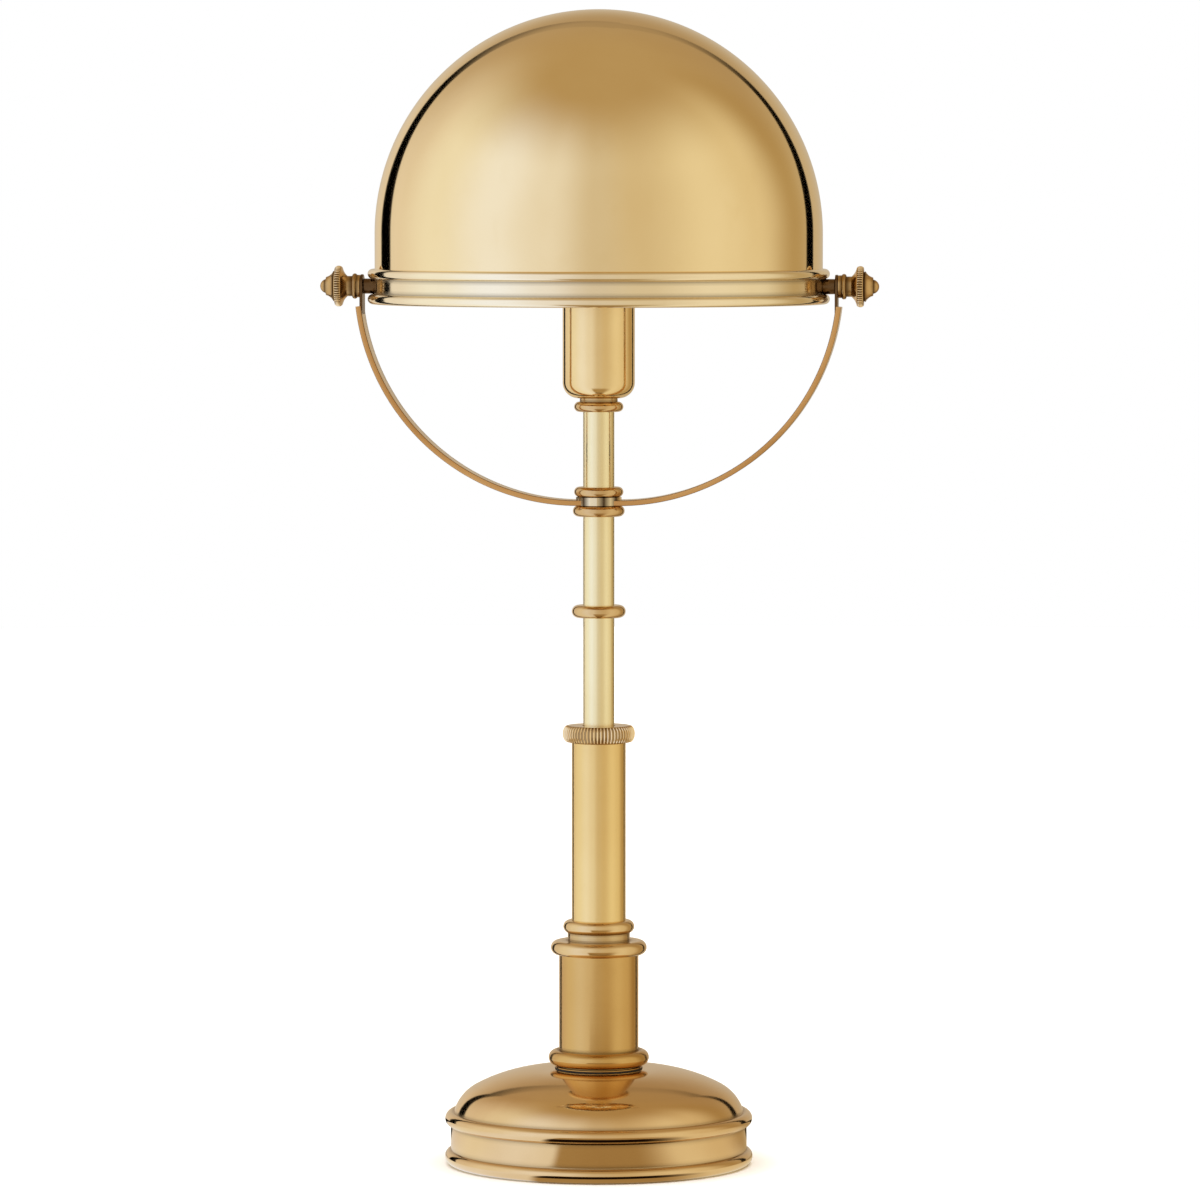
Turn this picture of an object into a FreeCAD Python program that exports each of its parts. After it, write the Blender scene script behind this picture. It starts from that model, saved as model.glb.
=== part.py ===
import FreeCAD, Part

import math
import os

# Brass table lamp with a telescoping stem and a half-round shade that tilts in a yoke.
# Millimetres. +Z is up, the front of the lamp faces -Y, the knobs stand out along X, and the
# origin is on the table, under the middle of the foot.

V = FreeCAD.Vector
UP = V(0, 0, 1)

# Clearances
FIT = 0.05             # radial room in a running or screwed fit
AIR = 0.3              # room between faces that pass each other
THRUST = 0.1           # end play of a washer, ring or knob
CUT = 1.0              # a cutter runs this far past the faces it cuts

# Foot
FELT_T = 1.2
FELT_IN = 3.0          # felt edge inside the plate edge
PLATE_T = 2.0
SHELL_LIFT = 0.4       # the shell's edge stays this far off the table
SHELL_WALL = 1.4
BAND_R = 71.3          # plain band between the two beads
LOW_BEAD_OUT = 2.85
LOW_BEAD_HALF = 3.35
HIGH_BEAD_OUT = 2.7
HIGH_BEAD_HALF = 3.35
BEAD_PITCH = 18.3
CROWN_IN = 1.5         # the crown leaves the upper bead this far inside the band
SHOULDER_IN = 11.4
SHOULDER_RISE = 12.06
SHOULDER_SAG = 1.56
CROWN_RISE = 20.81
SEAT_OUT = 1.4         # flat on the crown outside the gasket

WEIGHT_IN = 7.9        # weight edge inside the shell
WEIGHT_EDGE_H = 14.4
WEIGHT_CONE_H = 8.0
WEIGHT_CONE_IN = 22.0
HUB_R = 18.0
POCKET_ROOM = 1.5      # pocket for the tie nut, outside its washer
POCKET_H = 12.8
CHANNEL_W = 10.0       # cord channel towards the back
CHANNEL_H = 13.8

PLATE_SCREW_R = 2.0
PLATE_SCREW_HEAD_R = 3.8
PLATE_SCREW_L = 10.0
PLATE_SCREW_RING_R = 45.0
PLATE_SCREW_ANGLES = (-90, 30, 150)

CORD_R = 3.2           # bore of the cord bush
BUSH_WALL = 1.2
BUSH_L = 9.6
BUSH_FLANGE_R = 5.6
BUSH_FLANGE_T = 1.5
RETAINER_R = 6.8
RETAINER_T = 1.2

# Tie tube that pulls the stack together
TIE_R = 5.0
TIE_WALL = 1.4
TIE_TAIL = 2.4         # thread that shows below the nut
TIE_NUT_AF = 17.0
TIE_NUT_H = 5.0
TIE_WASHER_R = 11.0
TIE_WASHER_T = 1.6

# Pedestal
GASKET_OUT = 0.2       # gasket outside the sleeve's foot
GASKET_T = 0.5
SLEEVE_R = 19.15
SLEEVE_WALL = 1.75
SLEEVE_H = 54.6
SLEEVE_FLOOR_T = 3.7
SLEEVE_FOOT_OUT = 1.75
SLEEVE_FOOT_T = 0.5
SLEEVE_BEAD_OUT = 5.05
SLEEVE_BEAD_HALF = 3.7
SLEEVE_BEAD_UP = 4.8   # middle of the bead above the foot of the sleeve
SPIGOT_L = 6.2
BIG_BEAD_OUT = 3.95
BIG_BEAD_HALF = 3.4
NECK_WALL = 2.0
SMALL_BEAD_OUT = 2.1
SMALL_BEAD_HALF = 3.1
SMALL_BEAD_UP = 10.1   # middle of the small bead above the middle of the big one

# Column
COLUMN_R = 13.0
COLUMN_WALL = 1.5
COLUMN_L = 153.1
PLUG_L = 14.0          # threaded plug in the foot of the column
HEAD_L = 23.4          # threaded head, the part inside the column
HEAD_BOSS_WALL = 1.5   # threaded boss outside the collet's cone
HEAD_BOSS_H = 4.6
COLLET_WALL = 1.0
COLLET_L = 15.0
COLLET_CONE_H = 3.0
COLLET_CONE_OUT = 1.8
COLLET_LIP_H = 1.2
COLLET_SLOT_W = 1.0
COLLET_SLOT_COUNT = 4
COLLET_SLOT_TURN = 45
COLLET_SLOT_UP = 6.0   # the slots stop this far above the collet's foot

# Clamp nut
NUT_WALL = 5.5
NUT_H = 8.0
NUT_ROUND = 1.5
NUT_HOLE_AIR = 0.4
NUT_RIB_COUNT = 72
NUT_RIB_DEPTH = 0.45

# Stem
STEM_R = 7.5
STEM_WALL = 1.3
STEM_L = 244.6
STEM_OUT = 162.2       # stem above the top of the column, in the photographed pose
GUIDE_L = 14.0
GUIDE_UP = 4.0         # guide bush above the stem's foot
CLIP_T = 1.2
CLIP_OUT = 1.9
CLIP_GROOVE = 0.4
STOP_RING_OUT = 5.4
STOP_RING_HALF = 3.0
STOP_RING_UP = 63.2    # middle of the stop ring above the top of the column
GRUB_R = 1.25
GRUB_INSET = 1.0

# Yoke
EYE_UP = 114.1         # underside of the yoke's eye above the top of the column
EYE_H = 4.1
EYE_OUT = 3.5
LOW_COLLAR_OUT = 4.9
LOW_COLLAR_HALF = 2.65
HIGH_COLLAR_OUT = 4.3
HIGH_COLLAR_HALF = 2.4
STRAP_W = 15.0
STRAP_T = 2.6
STRAP_FLAT_HALF = 9.9  # half of the straight stretch under the eye
STRAP_JOG = 1.2        # the strap stands this far outside the ears
STRAP_END_ROUND = 1.1
EAR_T = 1.4
EAR_HALF_W = 5.7
EAR_RUN = 9.6          # ear below the pivot
EAR_ROOT = 8.0         # ear let into the strap
EAR_GAP = 2.7          # ear outside the rim's beads
PIVOT_DROP = 2.3       # pivot below the level where the strap would be upright

# Shade
SHADE_R = 107.2
SHADE_WALL = 1.0
SHADE_CENTRE_UP = 25.0  # centre of the half-round above the pivot
RIM_BAND_OUT = 0.1
RIM_BEAD_OUT = 3.3
RIM_BEAD_HALF = 2.4
RIM_BEAD_OFF = 6.0     # beads above and below the pivot
RIM_T = 2.1            # band thickness

# Pivots and knobs
STUD_R = 2.0
SPACER_R = 3.65
INNER_WASHER_R = 4.5
INNER_WASHER_T = 0.8
INNER_NUT_AF = 7.0
INNER_NUT_H = 3.2
STUD_TAIL = 0.8
KNOB_FACE_R = 5.4      # plain collar next to the ear
KNOB_FACE_L = 1.6
KNOB_BEAD_R = 6.1
KNOB_BEAD_L = 2.2
KNOB_NECK_R = 4.85
KNOB_NECK_L = 2.5
KNOB_COVE_L = 2.6
KNOB_COVE_SAG = 0.4
KNOB_DISC_R = 9.8
KNOB_DISC_L = 3.2
KNOB_DISC_EDGE = 0.6   # chamfer on both edges of the disc
KNOB_GROOVE_R = 6.9
KNOB_STEP_R = 7.3
KNOB_STEP_L = 0.9
KNOB_CONE_R = 4.4
KNOB_CONE_L = 3.6
KNOB_CONE_SAG = 0.5
KNOB_TIP_R = 3.4
KNOB_TIP_L = 2.9
KNOB_HOLE_L = 9.2
KNOB_RIB_COUNT = 60
KNOB_RIB_DEPTH = 0.3

# Lampholder
CUP_RING_OUT = 4.3
CUP_RING_HALF = 2.4
CUP_NECK_OUT = 4.1     # neck outside the nipple
CUP_NECK_H = 1.7
STEM_SEAT_L = 3.2      # depth of the stem in the cup ring
CUP_R = 17.3
CUP_WALL = 0.9
CUP_CORNER = 7.5
CUP_H = 55.1
NIPPLE_R = 5.0
NIPPLE_WALL = 1.4
NIPPLE_L = 12.5
HOLDER_NUT_AF = 14.0
HOLDER_NUT_H = 4.0
LINER_WALL = 0.35
LINER_UP = 7.6         # liner above the cup's outside bottom
LINER_L = 44.0
LINER_ROOM = 0.15      # between the liner and the holder
HOLDER_UP = 5.6        # holder above the cup's outside bottom
HOLDER_L = 43.5
HOLDER_FLOOR_T = 8.5
CAP_ROOM = 0.35        # between the bulb's cap and the screw shell
THREAD_SHELL_WALL = 0.5
THREAD_SHELL_L = 29.0
THREAD_SHELL_UP = 3.0  # above the holder's floor
CONTACT_R = 7.0
CONTACT_T = 1.0
CONTACT_LEAF_R = 2.2
CONTACT_LEAF_H = 2.2
TERMINAL_R = 1.5
TERMINAL_HEAD_R = 2.5
TERMINAL_HEAD_T = 1.6
TERMINAL_L = 6.0
TERMINAL_UP = 4.5      # above the holder's foot

# Bulb
CAP_R = 13.1
CAP_WALL = 0.4
CAP_L = 24.0
CAP_UP = 1.9           # threaded cap above the tip of the end contact
TIP_R = 4.5
TIP_H = 0.6
TIP_PLATE_T = 1.0
GLOBE_R = 22.5
GLOBE_WALL = 0.8
GLASS_ROOM = 0.1       # between the neck of the glass and the cap
BULB_L = 78.0
GLASS_LAP = 4.0        # neck of the glass inside the cap

# Radii that follow from the sizes above
TIE_BORE_R = TIE_R - TIE_WALL
POCKET_R = TIE_WASHER_R + POCKET_ROOM
SLEEVE_BORE_R = SLEEVE_R - SLEEVE_WALL
SLEEVE_FOOT_R = SLEEVE_R + SLEEVE_FOOT_OUT
GASKET_R = SLEEVE_FOOT_R + GASKET_OUT
SEAT_R = GASKET_R + SEAT_OUT
COLUMN_BORE_R = COLUMN_R - COLUMN_WALL
COLLET_R = STEM_R + FIT + COLLET_WALL
HEAD_BOSS_R = COLLET_R + FIT + COLLET_CONE_OUT + HEAD_BOSS_WALL
NUT_R = HEAD_BOSS_R + NUT_WALL
STEM_BORE_R = STEM_R - STEM_WALL
CLIP_R = STEM_R + CLIP_OUT
STOP_RING_R = STEM_R + STOP_RING_OUT
EYE_R = STEM_R + EYE_OUT
LOW_COLLAR_R = STEM_R + LOW_COLLAR_OUT
HIGH_COLLAR_R = STEM_R + HIGH_COLLAR_OUT
CUP_RING_R = STEM_R + CUP_RING_OUT
CUP_NECK_R = NIPPLE_R + CUP_NECK_OUT
NIPPLE_BORE_R = NIPPLE_R - NIPPLE_WALL
LINER_R = CUP_R - CUP_WALL - THRUST
HOLDER_R = LINER_R - LINER_WALL - LINER_ROOM
THREAD_SHELL_R = CAP_R + CAP_ROOM + THREAD_SHELL_WALL
GLASS_NECK_R = CAP_R - CAP_WALL - GLASS_ROOM

# Heights that follow from the sizes above
PLATE_TOP = FELT_T + PLATE_T
LOW_BEAD_Z = SHELL_LIFT + LOW_BEAD_HALF
HIGH_BEAD_Z = LOW_BEAD_Z + BEAD_PITCH
BAND_MID_Z = (LOW_BEAD_Z + HIGH_BEAD_Z) / 2
SLEEVE_BEAD_R = SLEEVE_R + SLEEVE_BEAD_OUT
BIG_BEAD_R = SLEEVE_R + BIG_BEAD_OUT
NECK_R = COLUMN_R + NECK_WALL
SMALL_BEAD_R = NECK_R + SMALL_BEAD_OUT
RIM_BAND_R = SHADE_R + RIM_BAND_OUT
RIM_BEAD_R = RIM_BAND_R + RIM_BEAD_OUT
EAR_IN = RIM_BEAD_R + EAR_GAP
KNOB_FACE = EAR_IN + EAR_T + THRUST
STRAP_R = EAR_IN + STRAP_JOG + STRAP_T - STRAP_FLAT_HALF


class Bead:
    """Half-round ring: radius of its nose, height of its middle and half its thickness."""

    def __init__(self, nose_r, mid_z, half):
        self.nose = (nose_r, mid_z)
        self.core_r = nose_r - half
        self.low = mid_z - half
        self.high = mid_z + half
        self.half = half

    def meets(self, wall_r, side):
        """Point where the ring meets a wall, under the ring (side -1) or over it (side 1)."""
        rise = math.sqrt(self.half ** 2 - (wall_r - self.core_r) ** 2)
        return (wall_r, self.nose[1] + side * rise)


BASE_LOW_BEAD = Bead(BAND_R + LOW_BEAD_OUT, LOW_BEAD_Z, LOW_BEAD_HALF)
BASE_HIGH_BEAD = Bead(BAND_R + HIGH_BEAD_OUT, HIGH_BEAD_Z, HIGH_BEAD_HALF)
CROWN_FOOT = BASE_HIGH_BEAD.meets(BAND_R - CROWN_IN, 1)
SHOULDER = (BAND_R - SHOULDER_IN, CROWN_FOOT[1] + SHOULDER_RISE)
SEAT_Z = CROWN_FOOT[1] + CROWN_RISE
SLEEVE_Z = SEAT_Z + GASKET_T
SLEEVE_TOP = SLEEVE_Z + SLEEVE_H
SLEEVE_FLOOR = SLEEVE_Z + SLEEVE_FLOOR_T
COLUMN_TOP = SLEEVE_FLOOR + COLUMN_L
SLEEVE_BEAD = Bead(SLEEVE_BEAD_R, SLEEVE_Z + SLEEVE_BEAD_UP, SLEEVE_BEAD_HALF)
BIG_BEAD = Bead(BIG_BEAD_R, SLEEVE_TOP + BIG_BEAD_HALF, BIG_BEAD_HALF)
SMALL_BEAD = Bead(SMALL_BEAD_R, BIG_BEAD.nose[1] + SMALL_BEAD_UP, SMALL_BEAD_HALF)
POCKET_TOP = PLATE_TOP + POCKET_H
HEAD_FOOT = COLUMN_TOP - HEAD_L
HEAD_TOP = COLUMN_TOP + HEAD_BOSS_H
COLLET_CONE_Z = HEAD_TOP - COLLET_CONE_H
COLLET_FOOT = COLLET_CONE_Z - COLLET_L
COLLET_TOP = HEAD_TOP + COLLET_LIP_H
NUT_FOOT = COLUMN_TOP + AIR
NUT_TOP = NUT_FOOT + NUT_H
NUT_CEILING = COLLET_TOP + AIR
STEM_TOP = COLUMN_TOP + STEM_OUT
STEM_FOOT = STEM_TOP - STEM_L
GUIDE_FOOT = STEM_FOOT + GUIDE_UP
EYE_FOOT = COLUMN_TOP + EYE_UP
EYE_TOP = EYE_FOOT + EYE_H
STOP_RING = Bead(STOP_RING_R, COLUMN_TOP + STOP_RING_UP, STOP_RING_HALF)
LOW_COLLAR = Bead(LOW_COLLAR_R, EYE_FOOT - LOW_COLLAR_HALF, LOW_COLLAR_HALF)
HIGH_COLLAR = Bead(HIGH_COLLAR_R, EYE_TOP + HIGH_COLLAR_HALF, HIGH_COLLAR_HALF)
PIVOT_Z = EYE_FOOT + STRAP_R - PIVOT_DROP
RIM_LOW_BEAD = Bead(RIM_BEAD_R, PIVOT_Z - RIM_BEAD_OFF, RIM_BEAD_HALF)
RIM_HIGH_BEAD = Bead(RIM_BEAD_R, PIVOT_Z + RIM_BEAD_OFF, RIM_BEAD_HALF)
RIM_LEDGE = PIVOT_Z + RIM_BEAD_OFF
SHADE_CENTRE = PIVOT_Z + SHADE_CENTRE_UP
CUP_RING = Bead(CUP_RING_R, STEM_TOP - STEM_SEAT_L + CUP_RING_HALF, CUP_RING_HALF)
CUP_FOOT = CUP_RING.high + CUP_NECK_H
HOLDER_FOOT = CUP_FOOT + HOLDER_UP
HOLDER_FLOOR = HOLDER_FOOT + HOLDER_FLOOR_T
THREAD_SHELL_FOOT = HOLDER_FLOOR + THREAD_SHELL_UP
BULB_TIP = HOLDER_FLOOR + CONTACT_T + CONTACT_LEAF_H
CAP_FOOT = BULB_TIP + CAP_UP
CAP_TOP = CAP_FOOT + CAP_L
GLOBE_Z = BULB_TIP + BULB_L - GLOBE_R


def at(point):
    """A (radius, height) pair as a point in the XZ plane."""
    return V(point[0], 0, point[1])


def outline(start, moves):
    """Flat face in the XZ plane. A move is a point, or (through, end) for an arc."""
    edges = []
    here = start
    for move in list(moves) + [start]:
        curved = isinstance(move[0], tuple)
        end = move[1] if curved else move
        if curved:
            edges.append(Part.Arc(at(here), at(move[0]), at(end)).toShape())
        else:
            edges.append(Part.makeLine(at(here), at(end)))
        here = end
    return Part.Face(Part.Wire(edges))


def lathe(start, *moves):
    """Solid turned about the Z axis from its half section."""
    return outline(start, moves).revolve(V(0, 0, 0), UP, 360)


def tube(bore_r, outer_r, low, high):
    """Plain tube or washer about the Z axis."""
    return lathe((bore_r, low), (outer_r, low), (outer_r, high), (bore_r, high))


def rod(radius, low, high):
    """Plain round bar about the Z axis."""
    return Part.makeCylinder(radius, high - low, V(0, 0, low))


def ring(bead, bore_r):
    """Loose half-round ring with a plain bore."""
    return lathe(
        (bore_r, bead.low),
        (bead.core_r, bead.low),
        (bead.nose, (bead.core_r, bead.high)),
        (bore_r, bead.high),
    )


def hex_nut(across_flats, bore_r, low, high):
    """Six-sided nut about the Z axis."""
    corner_r = across_flats / math.sqrt(3)
    corners = [V(corner_r, 0, low)]
    for step in range(1, 7):
        turn = math.radians(60 * step)
        corners.append(V(corner_r * math.cos(turn), corner_r * math.sin(turn), low))
    blank = Part.Face(Part.makePolygon(corners)).extrude(V(0, 0, high - low))
    return blank.cut(rod(bore_r, low, high))


def ribbed(solid, root_r, tip_r, count, low, high):
    """The solid with straight ribs cut into it between two heights."""
    points = []
    for step in range(2 * count):
        radius = tip_r if step % 2 else root_r
        turn = math.pi * step / count
        points.append(V(radius * math.cos(turn), radius * math.sin(turn), low))
    points.append(points[0])
    star = Part.Face(Part.makePolygon(points)).extrude(V(0, 0, high - low))
    waste = rod(tip_r + CUT, low, high).cut(star)
    return solid.cut(waste)


def bulge(start, end, sag):
    """Point at the middle of an arc that stands out of its chord by the sag."""
    run = end[0] - start[0]
    rise = end[1] - start[1]
    chord = math.hypot(run, rise)
    return (
        (start[0] + end[0]) / 2 + sag * rise / chord,
        (start[1] + end[1]) / 2 - sag * run / chord,
    )


def sag_after(start, mid, end, next_end):
    """Sag of the arc from the end to the next end that goes on smoothly from the first arc."""
    chord_turn = math.atan2(end[1] - start[1], end[0] - start[0])
    half_turn = math.atan2(mid[1] - start[1], mid[0] - start[0]) - chord_turn
    leaving = chord_turn - 2 * half_turn
    run = next_end[0] - end[0]
    rise = next_end[1] - end[1]
    return math.hypot(run, rise) / 2 * math.tan((math.atan2(rise, run) - leaving) / 2)


def dome_mid(foot_r, foot_z, top_z):
    """Middle point of a dome's round section, whose centre lies on the Z axis."""
    rise = top_z - foot_z
    ball_r = (foot_r ** 2 + rise ** 2) / (2 * rise)
    half_turn = math.atan2(foot_r, foot_z - (top_z - ball_r)) / 2
    return (ball_r * math.sin(half_turn), top_z - ball_r + ball_r * math.cos(half_turn))


def shifted(point, out, up):
    """The point moved by a radius and a height."""
    return (point[0] + out, point[1] + up)


def along_x(solid, side, start):
    """A solid turned about Z, laid along the pivot axis so that its z = 0 is at |x| = start."""
    laid = solid.copy()
    laid.translate(V(0, 0, start))
    laid.rotate(V(0, 0, 0), V(0, 1, 0), 90 * side)
    laid.translate(V(0, 0, PIVOT_Z))
    return laid


def along_y(solid, start, height):
    """A solid turned about Z, laid along +Y so that its z = 0 is at y = start."""
    laid = solid.copy()
    laid.translate(V(0, 0, start))
    laid.rotate(V(0, 0, 0), V(1, 0, 0), -90)
    laid.translate(V(0, 0, height))
    return laid


# ---- foot ----

def felt_pad():
    return rod(BAND_R - SHELL_WALL - AIR - FELT_IN, 0, FELT_T)


def plate_screw_places():
    places = []
    for angle in PLATE_SCREW_ANGLES:
        turn = math.radians(angle)
        places.append(
            V(PLATE_SCREW_RING_R * math.cos(turn), PLATE_SCREW_RING_R * math.sin(turn), 0)
        )
    return places


def plate_screw(room):
    """Countersunk screw, larger all round by the room when it is used as a cutter."""
    head_r = PLATE_SCREW_HEAD_R + room
    shank_r = PLATE_SCREW_R + room
    return lathe(
        (0, FELT_T),
        (head_r, FELT_T),
        (shank_r, PLATE_TOP),
        (shank_r, FELT_T + PLATE_SCREW_L + room),
        (0, FELT_T + PLATE_SCREW_L + room),
    )


def plate_screws(room=0.0):
    screws = []
    for place in plate_screw_places():
        screw = plate_screw(room)
        screw.translate(place)
        screws.append(screw)
    return screws


def base_plate():
    plate = rod(BAND_R - SHELL_WALL - AIR, FELT_T, PLATE_TOP)
    return plate.cut(plate_screws(FIT))


def shell_section():
    """Closed half section of the spun shell."""
    in_r = BAND_R - SHELL_WALL
    shoulder_mid = bulge(CROWN_FOOT, SHOULDER, SHOULDER_SAG)
    seat = (SEAT_R, SEAT_Z)
    crown_sag = sag_after(CROWN_FOOT, shoulder_mid, SHOULDER, seat)
    crown_mid = bulge(SHOULDER, seat, crown_sag)
    slant = SHELL_WALL * math.sqrt(0.5)
    inner_foot = (in_r, HIGH_BEAD_Z)
    inner_shoulder = shifted(SHOULDER, -slant, -slant)
    inner_seat = shifted(seat, 0, -SHELL_WALL)
    inner_shoulder_mid = bulge(inner_foot, inner_shoulder, SHOULDER_SAG)
    inner_crown_mid = bulge(inner_shoulder, inner_seat, crown_sag)
    hole_r = TIE_R + AIR
    return (
        (in_r, BASE_LOW_BEAD.low),
        (BASE_LOW_BEAD.core_r, BASE_LOW_BEAD.low),
        (BASE_LOW_BEAD.nose, BASE_LOW_BEAD.meets(BAND_R, 1)),
        BASE_HIGH_BEAD.meets(BAND_R, -1),
        (BASE_HIGH_BEAD.nose, CROWN_FOOT),
        (shoulder_mid, SHOULDER),
        (crown_mid, seat),
        (hole_r, SEAT_Z),
        (hole_r, SEAT_Z - SHELL_WALL),
        inner_seat,
        (inner_crown_mid, inner_shoulder),
        (inner_shoulder_mid, inner_foot),
    )


def base_shell():
    shell = lathe(*shell_section())
    hole = along_y(rod(CORD_R + BUSH_WALL + FIT, 0, BAND_R), BAND_R / 2, BAND_MID_Z)
    return shell.cut(hole)


def base_weight():
    edge_r = BAND_R - SHELL_WALL - WEIGHT_IN
    edge_z = PLATE_TOP + WEIGHT_EDGE_H
    bore_r = TIE_R + AIR
    weight = lathe(
        (POCKET_R, PLATE_TOP),
        (edge_r, PLATE_TOP),
        (edge_r, edge_z),
        (edge_r - WEIGHT_CONE_IN, edge_z + WEIGHT_CONE_H),
        (HUB_R, edge_z + WEIGHT_CONE_H),
        (HUB_R, SEAT_Z - SHELL_WALL),
        (bore_r, SEAT_Z - SHELL_WALL),
        (bore_r, POCKET_TOP),
        (POCKET_R, POCKET_TOP),
    )
    corner = V(-CHANNEL_W / 2, 0, PLATE_TOP)
    channel = Part.makeBox(CHANNEL_W, BAND_R, CHANNEL_H, corner)
    return weight.cut([channel] + plate_screws(FIT))


def cord_bush():
    face = BAND_R + BUSH_FLANGE_T
    sleeve_r = CORD_R + BUSH_WALL
    bush = lathe(
        (CORD_R, 0),
        (sleeve_r, 0),
        (sleeve_r, BUSH_L - BUSH_FLANGE_T),
        (BUSH_FLANGE_R, BUSH_L - BUSH_FLANGE_T),
        (BUSH_FLANGE_R, BUSH_L),
        (CORD_R, BUSH_L),
    )
    return along_y(bush, face - BUSH_L, BAND_MID_Z)


def bush_retainer():
    face = math.sqrt((BAND_R - SHELL_WALL) ** 2 - RETAINER_R ** 2)
    washer = tube(CORD_R + BUSH_WALL, RETAINER_R, 0, RETAINER_T)
    return along_y(washer, face - RETAINER_T, BAND_MID_Z)


def tie_washer():
    return tube(TIE_R + FIT, TIE_WASHER_R, POCKET_TOP - TIE_WASHER_T, POCKET_TOP)


def tie_nut():
    top = POCKET_TOP - TIE_WASHER_T
    return hex_nut(TIE_NUT_AF, TIE_R + FIT, top - TIE_NUT_H, top)


def tie_tube():
    foot = POCKET_TOP - TIE_WASHER_T - TIE_NUT_H - TIE_TAIL
    return tube(TIE_BORE_R, TIE_R, foot, SLEEVE_FLOOR + PLUG_L)


# ---- pedestal and column ----

def pedestal_gasket():
    return tube(TIE_R + AIR, GASKET_R, SEAT_Z, SLEEVE_Z)


def pedestal_sleeve():
    return lathe(
        (TIE_R + AIR, SLEEVE_Z),
        (SLEEVE_FOOT_R, SLEEVE_Z),
        (SLEEVE_FOOT_R, SLEEVE_Z + SLEEVE_FOOT_T),
        (SLEEVE_R, SLEEVE_Z + SLEEVE_FOOT_T),
        SLEEVE_BEAD.meets(SLEEVE_R, -1),
        (SLEEVE_BEAD.nose, SLEEVE_BEAD.meets(SLEEVE_R, 1)),
        (SLEEVE_R, SLEEVE_TOP),
        (SLEEVE_BORE_R, SLEEVE_TOP),
        (SLEEVE_BORE_R, SLEEVE_FLOOR),
        (TIE_R + AIR, SLEEVE_FLOOR),
    )


def pedestal_reducer():
    spigot_r = SLEEVE_BORE_R - FIT
    bore_r = COLUMN_R + FIT
    return lathe(
        (bore_r, SLEEVE_TOP - SPIGOT_L),
        (spigot_r, SLEEVE_TOP - SPIGOT_L),
        (spigot_r, SLEEVE_TOP),
        (BIG_BEAD.core_r, SLEEVE_TOP),
        (BIG_BEAD.nose, (BIG_BEAD.core_r, BIG_BEAD.high)),
        (NECK_R, BIG_BEAD.high),
        SMALL_BEAD.meets(NECK_R, -1),
        (SMALL_BEAD.nose, (SMALL_BEAD.core_r, SMALL_BEAD.high)),
        (bore_r, SMALL_BEAD.high),
    )


def column_tube():
    return tube(COLUMN_BORE_R, COLUMN_R, SLEEVE_FLOOR, COLUMN_TOP)


def column_foot():
    return tube(TIE_R + FIT, COLUMN_BORE_R - FIT, SLEEVE_FLOOR, SLEEVE_FLOOR + PLUG_L)


def column_head():
    seat_r = COLLET_R + FIT
    spigot_r = COLUMN_BORE_R - FIT
    return lathe(
        (STEM_R + AIR, HEAD_FOOT),
        (spigot_r, HEAD_FOOT),
        (spigot_r, COLUMN_TOP),
        (HEAD_BOSS_R, COLUMN_TOP),
        (HEAD_BOSS_R, HEAD_TOP),
        (seat_r + COLLET_CONE_OUT, HEAD_TOP),
        (seat_r, COLLET_CONE_Z),
        (seat_r, COLLET_FOOT),
        (STEM_R + AIR, COLLET_FOOT),
    )


def collet():
    bore_r = STEM_R + FIT
    lip_r = COLLET_R + COLLET_CONE_OUT
    blank = lathe(
        (bore_r, COLLET_FOOT),
        (COLLET_R, COLLET_FOOT),
        (COLLET_R, COLLET_CONE_Z),
        (lip_r, HEAD_TOP),
        (lip_r, COLLET_TOP),
        (bore_r, COLLET_TOP),
    )
    slots = []
    for step in range(COLLET_SLOT_COUNT):
        corner = V(0, -COLLET_SLOT_W / 2, COLLET_FOOT + COLLET_SLOT_UP)
        slot = Part.makeBox(lip_r + CUT, COLLET_SLOT_W, COLLET_TOP, corner)
        slot.rotate(V(0, 0, 0), UP, COLLET_SLOT_TURN + 360 * step / COLLET_SLOT_COUNT)
        slots.append(slot)
    return blank.cut(slots)


def clamp_nut():
    thread_r = HEAD_BOSS_R + FIT
    hole_r = STEM_R + NUT_HOLE_AIR
    corner = NUT_ROUND * (1 - math.sqrt(0.5))
    flat_r = NUT_R - NUT_ROUND
    blank = lathe(
        (thread_r, NUT_FOOT),
        (flat_r, NUT_FOOT),
        ((NUT_R - corner, NUT_FOOT + corner), (NUT_R, NUT_FOOT + NUT_ROUND)),
        (NUT_R, NUT_TOP - NUT_ROUND),
        ((NUT_R - corner, NUT_TOP - corner), (flat_r, NUT_TOP)),
        (hole_r, NUT_TOP),
        (hole_r, NUT_CEILING),
        (thread_r, NUT_CEILING),
    )
    low = NUT_FOOT + NUT_ROUND
    high = NUT_TOP - NUT_ROUND
    return ribbed(blank, NUT_R - NUT_RIB_DEPTH, NUT_R, NUT_RIB_COUNT, low, high)


# ---- stem ----

def guide_bush():
    return tube(STEM_R + FIT, COLUMN_BORE_R - FIT, GUIDE_FOOT, GUIDE_FOOT + GUIDE_L)


def clip_feet():
    """Lower faces of the two retaining rings, under and over the guide bush."""
    return (GUIDE_FOOT - THRUST - CLIP_T, GUIDE_FOOT + GUIDE_L + THRUST)


def retaining_rings():
    rings = []
    for foot in clip_feet():
        rings.append(tube(STEM_R - CLIP_GROOVE, CLIP_R, foot, foot + CLIP_T))
    return rings


def stem_tube():
    stem = tube(STEM_BORE_R, STEM_R, STEM_FOOT, STEM_TOP)
    grooves = []
    for foot in clip_feet():
        grooves.append(tube(STEM_R - CLIP_GROOVE, STEM_R + CUT, foot, foot + CLIP_T))
    return stem.cut(grooves)


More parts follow.
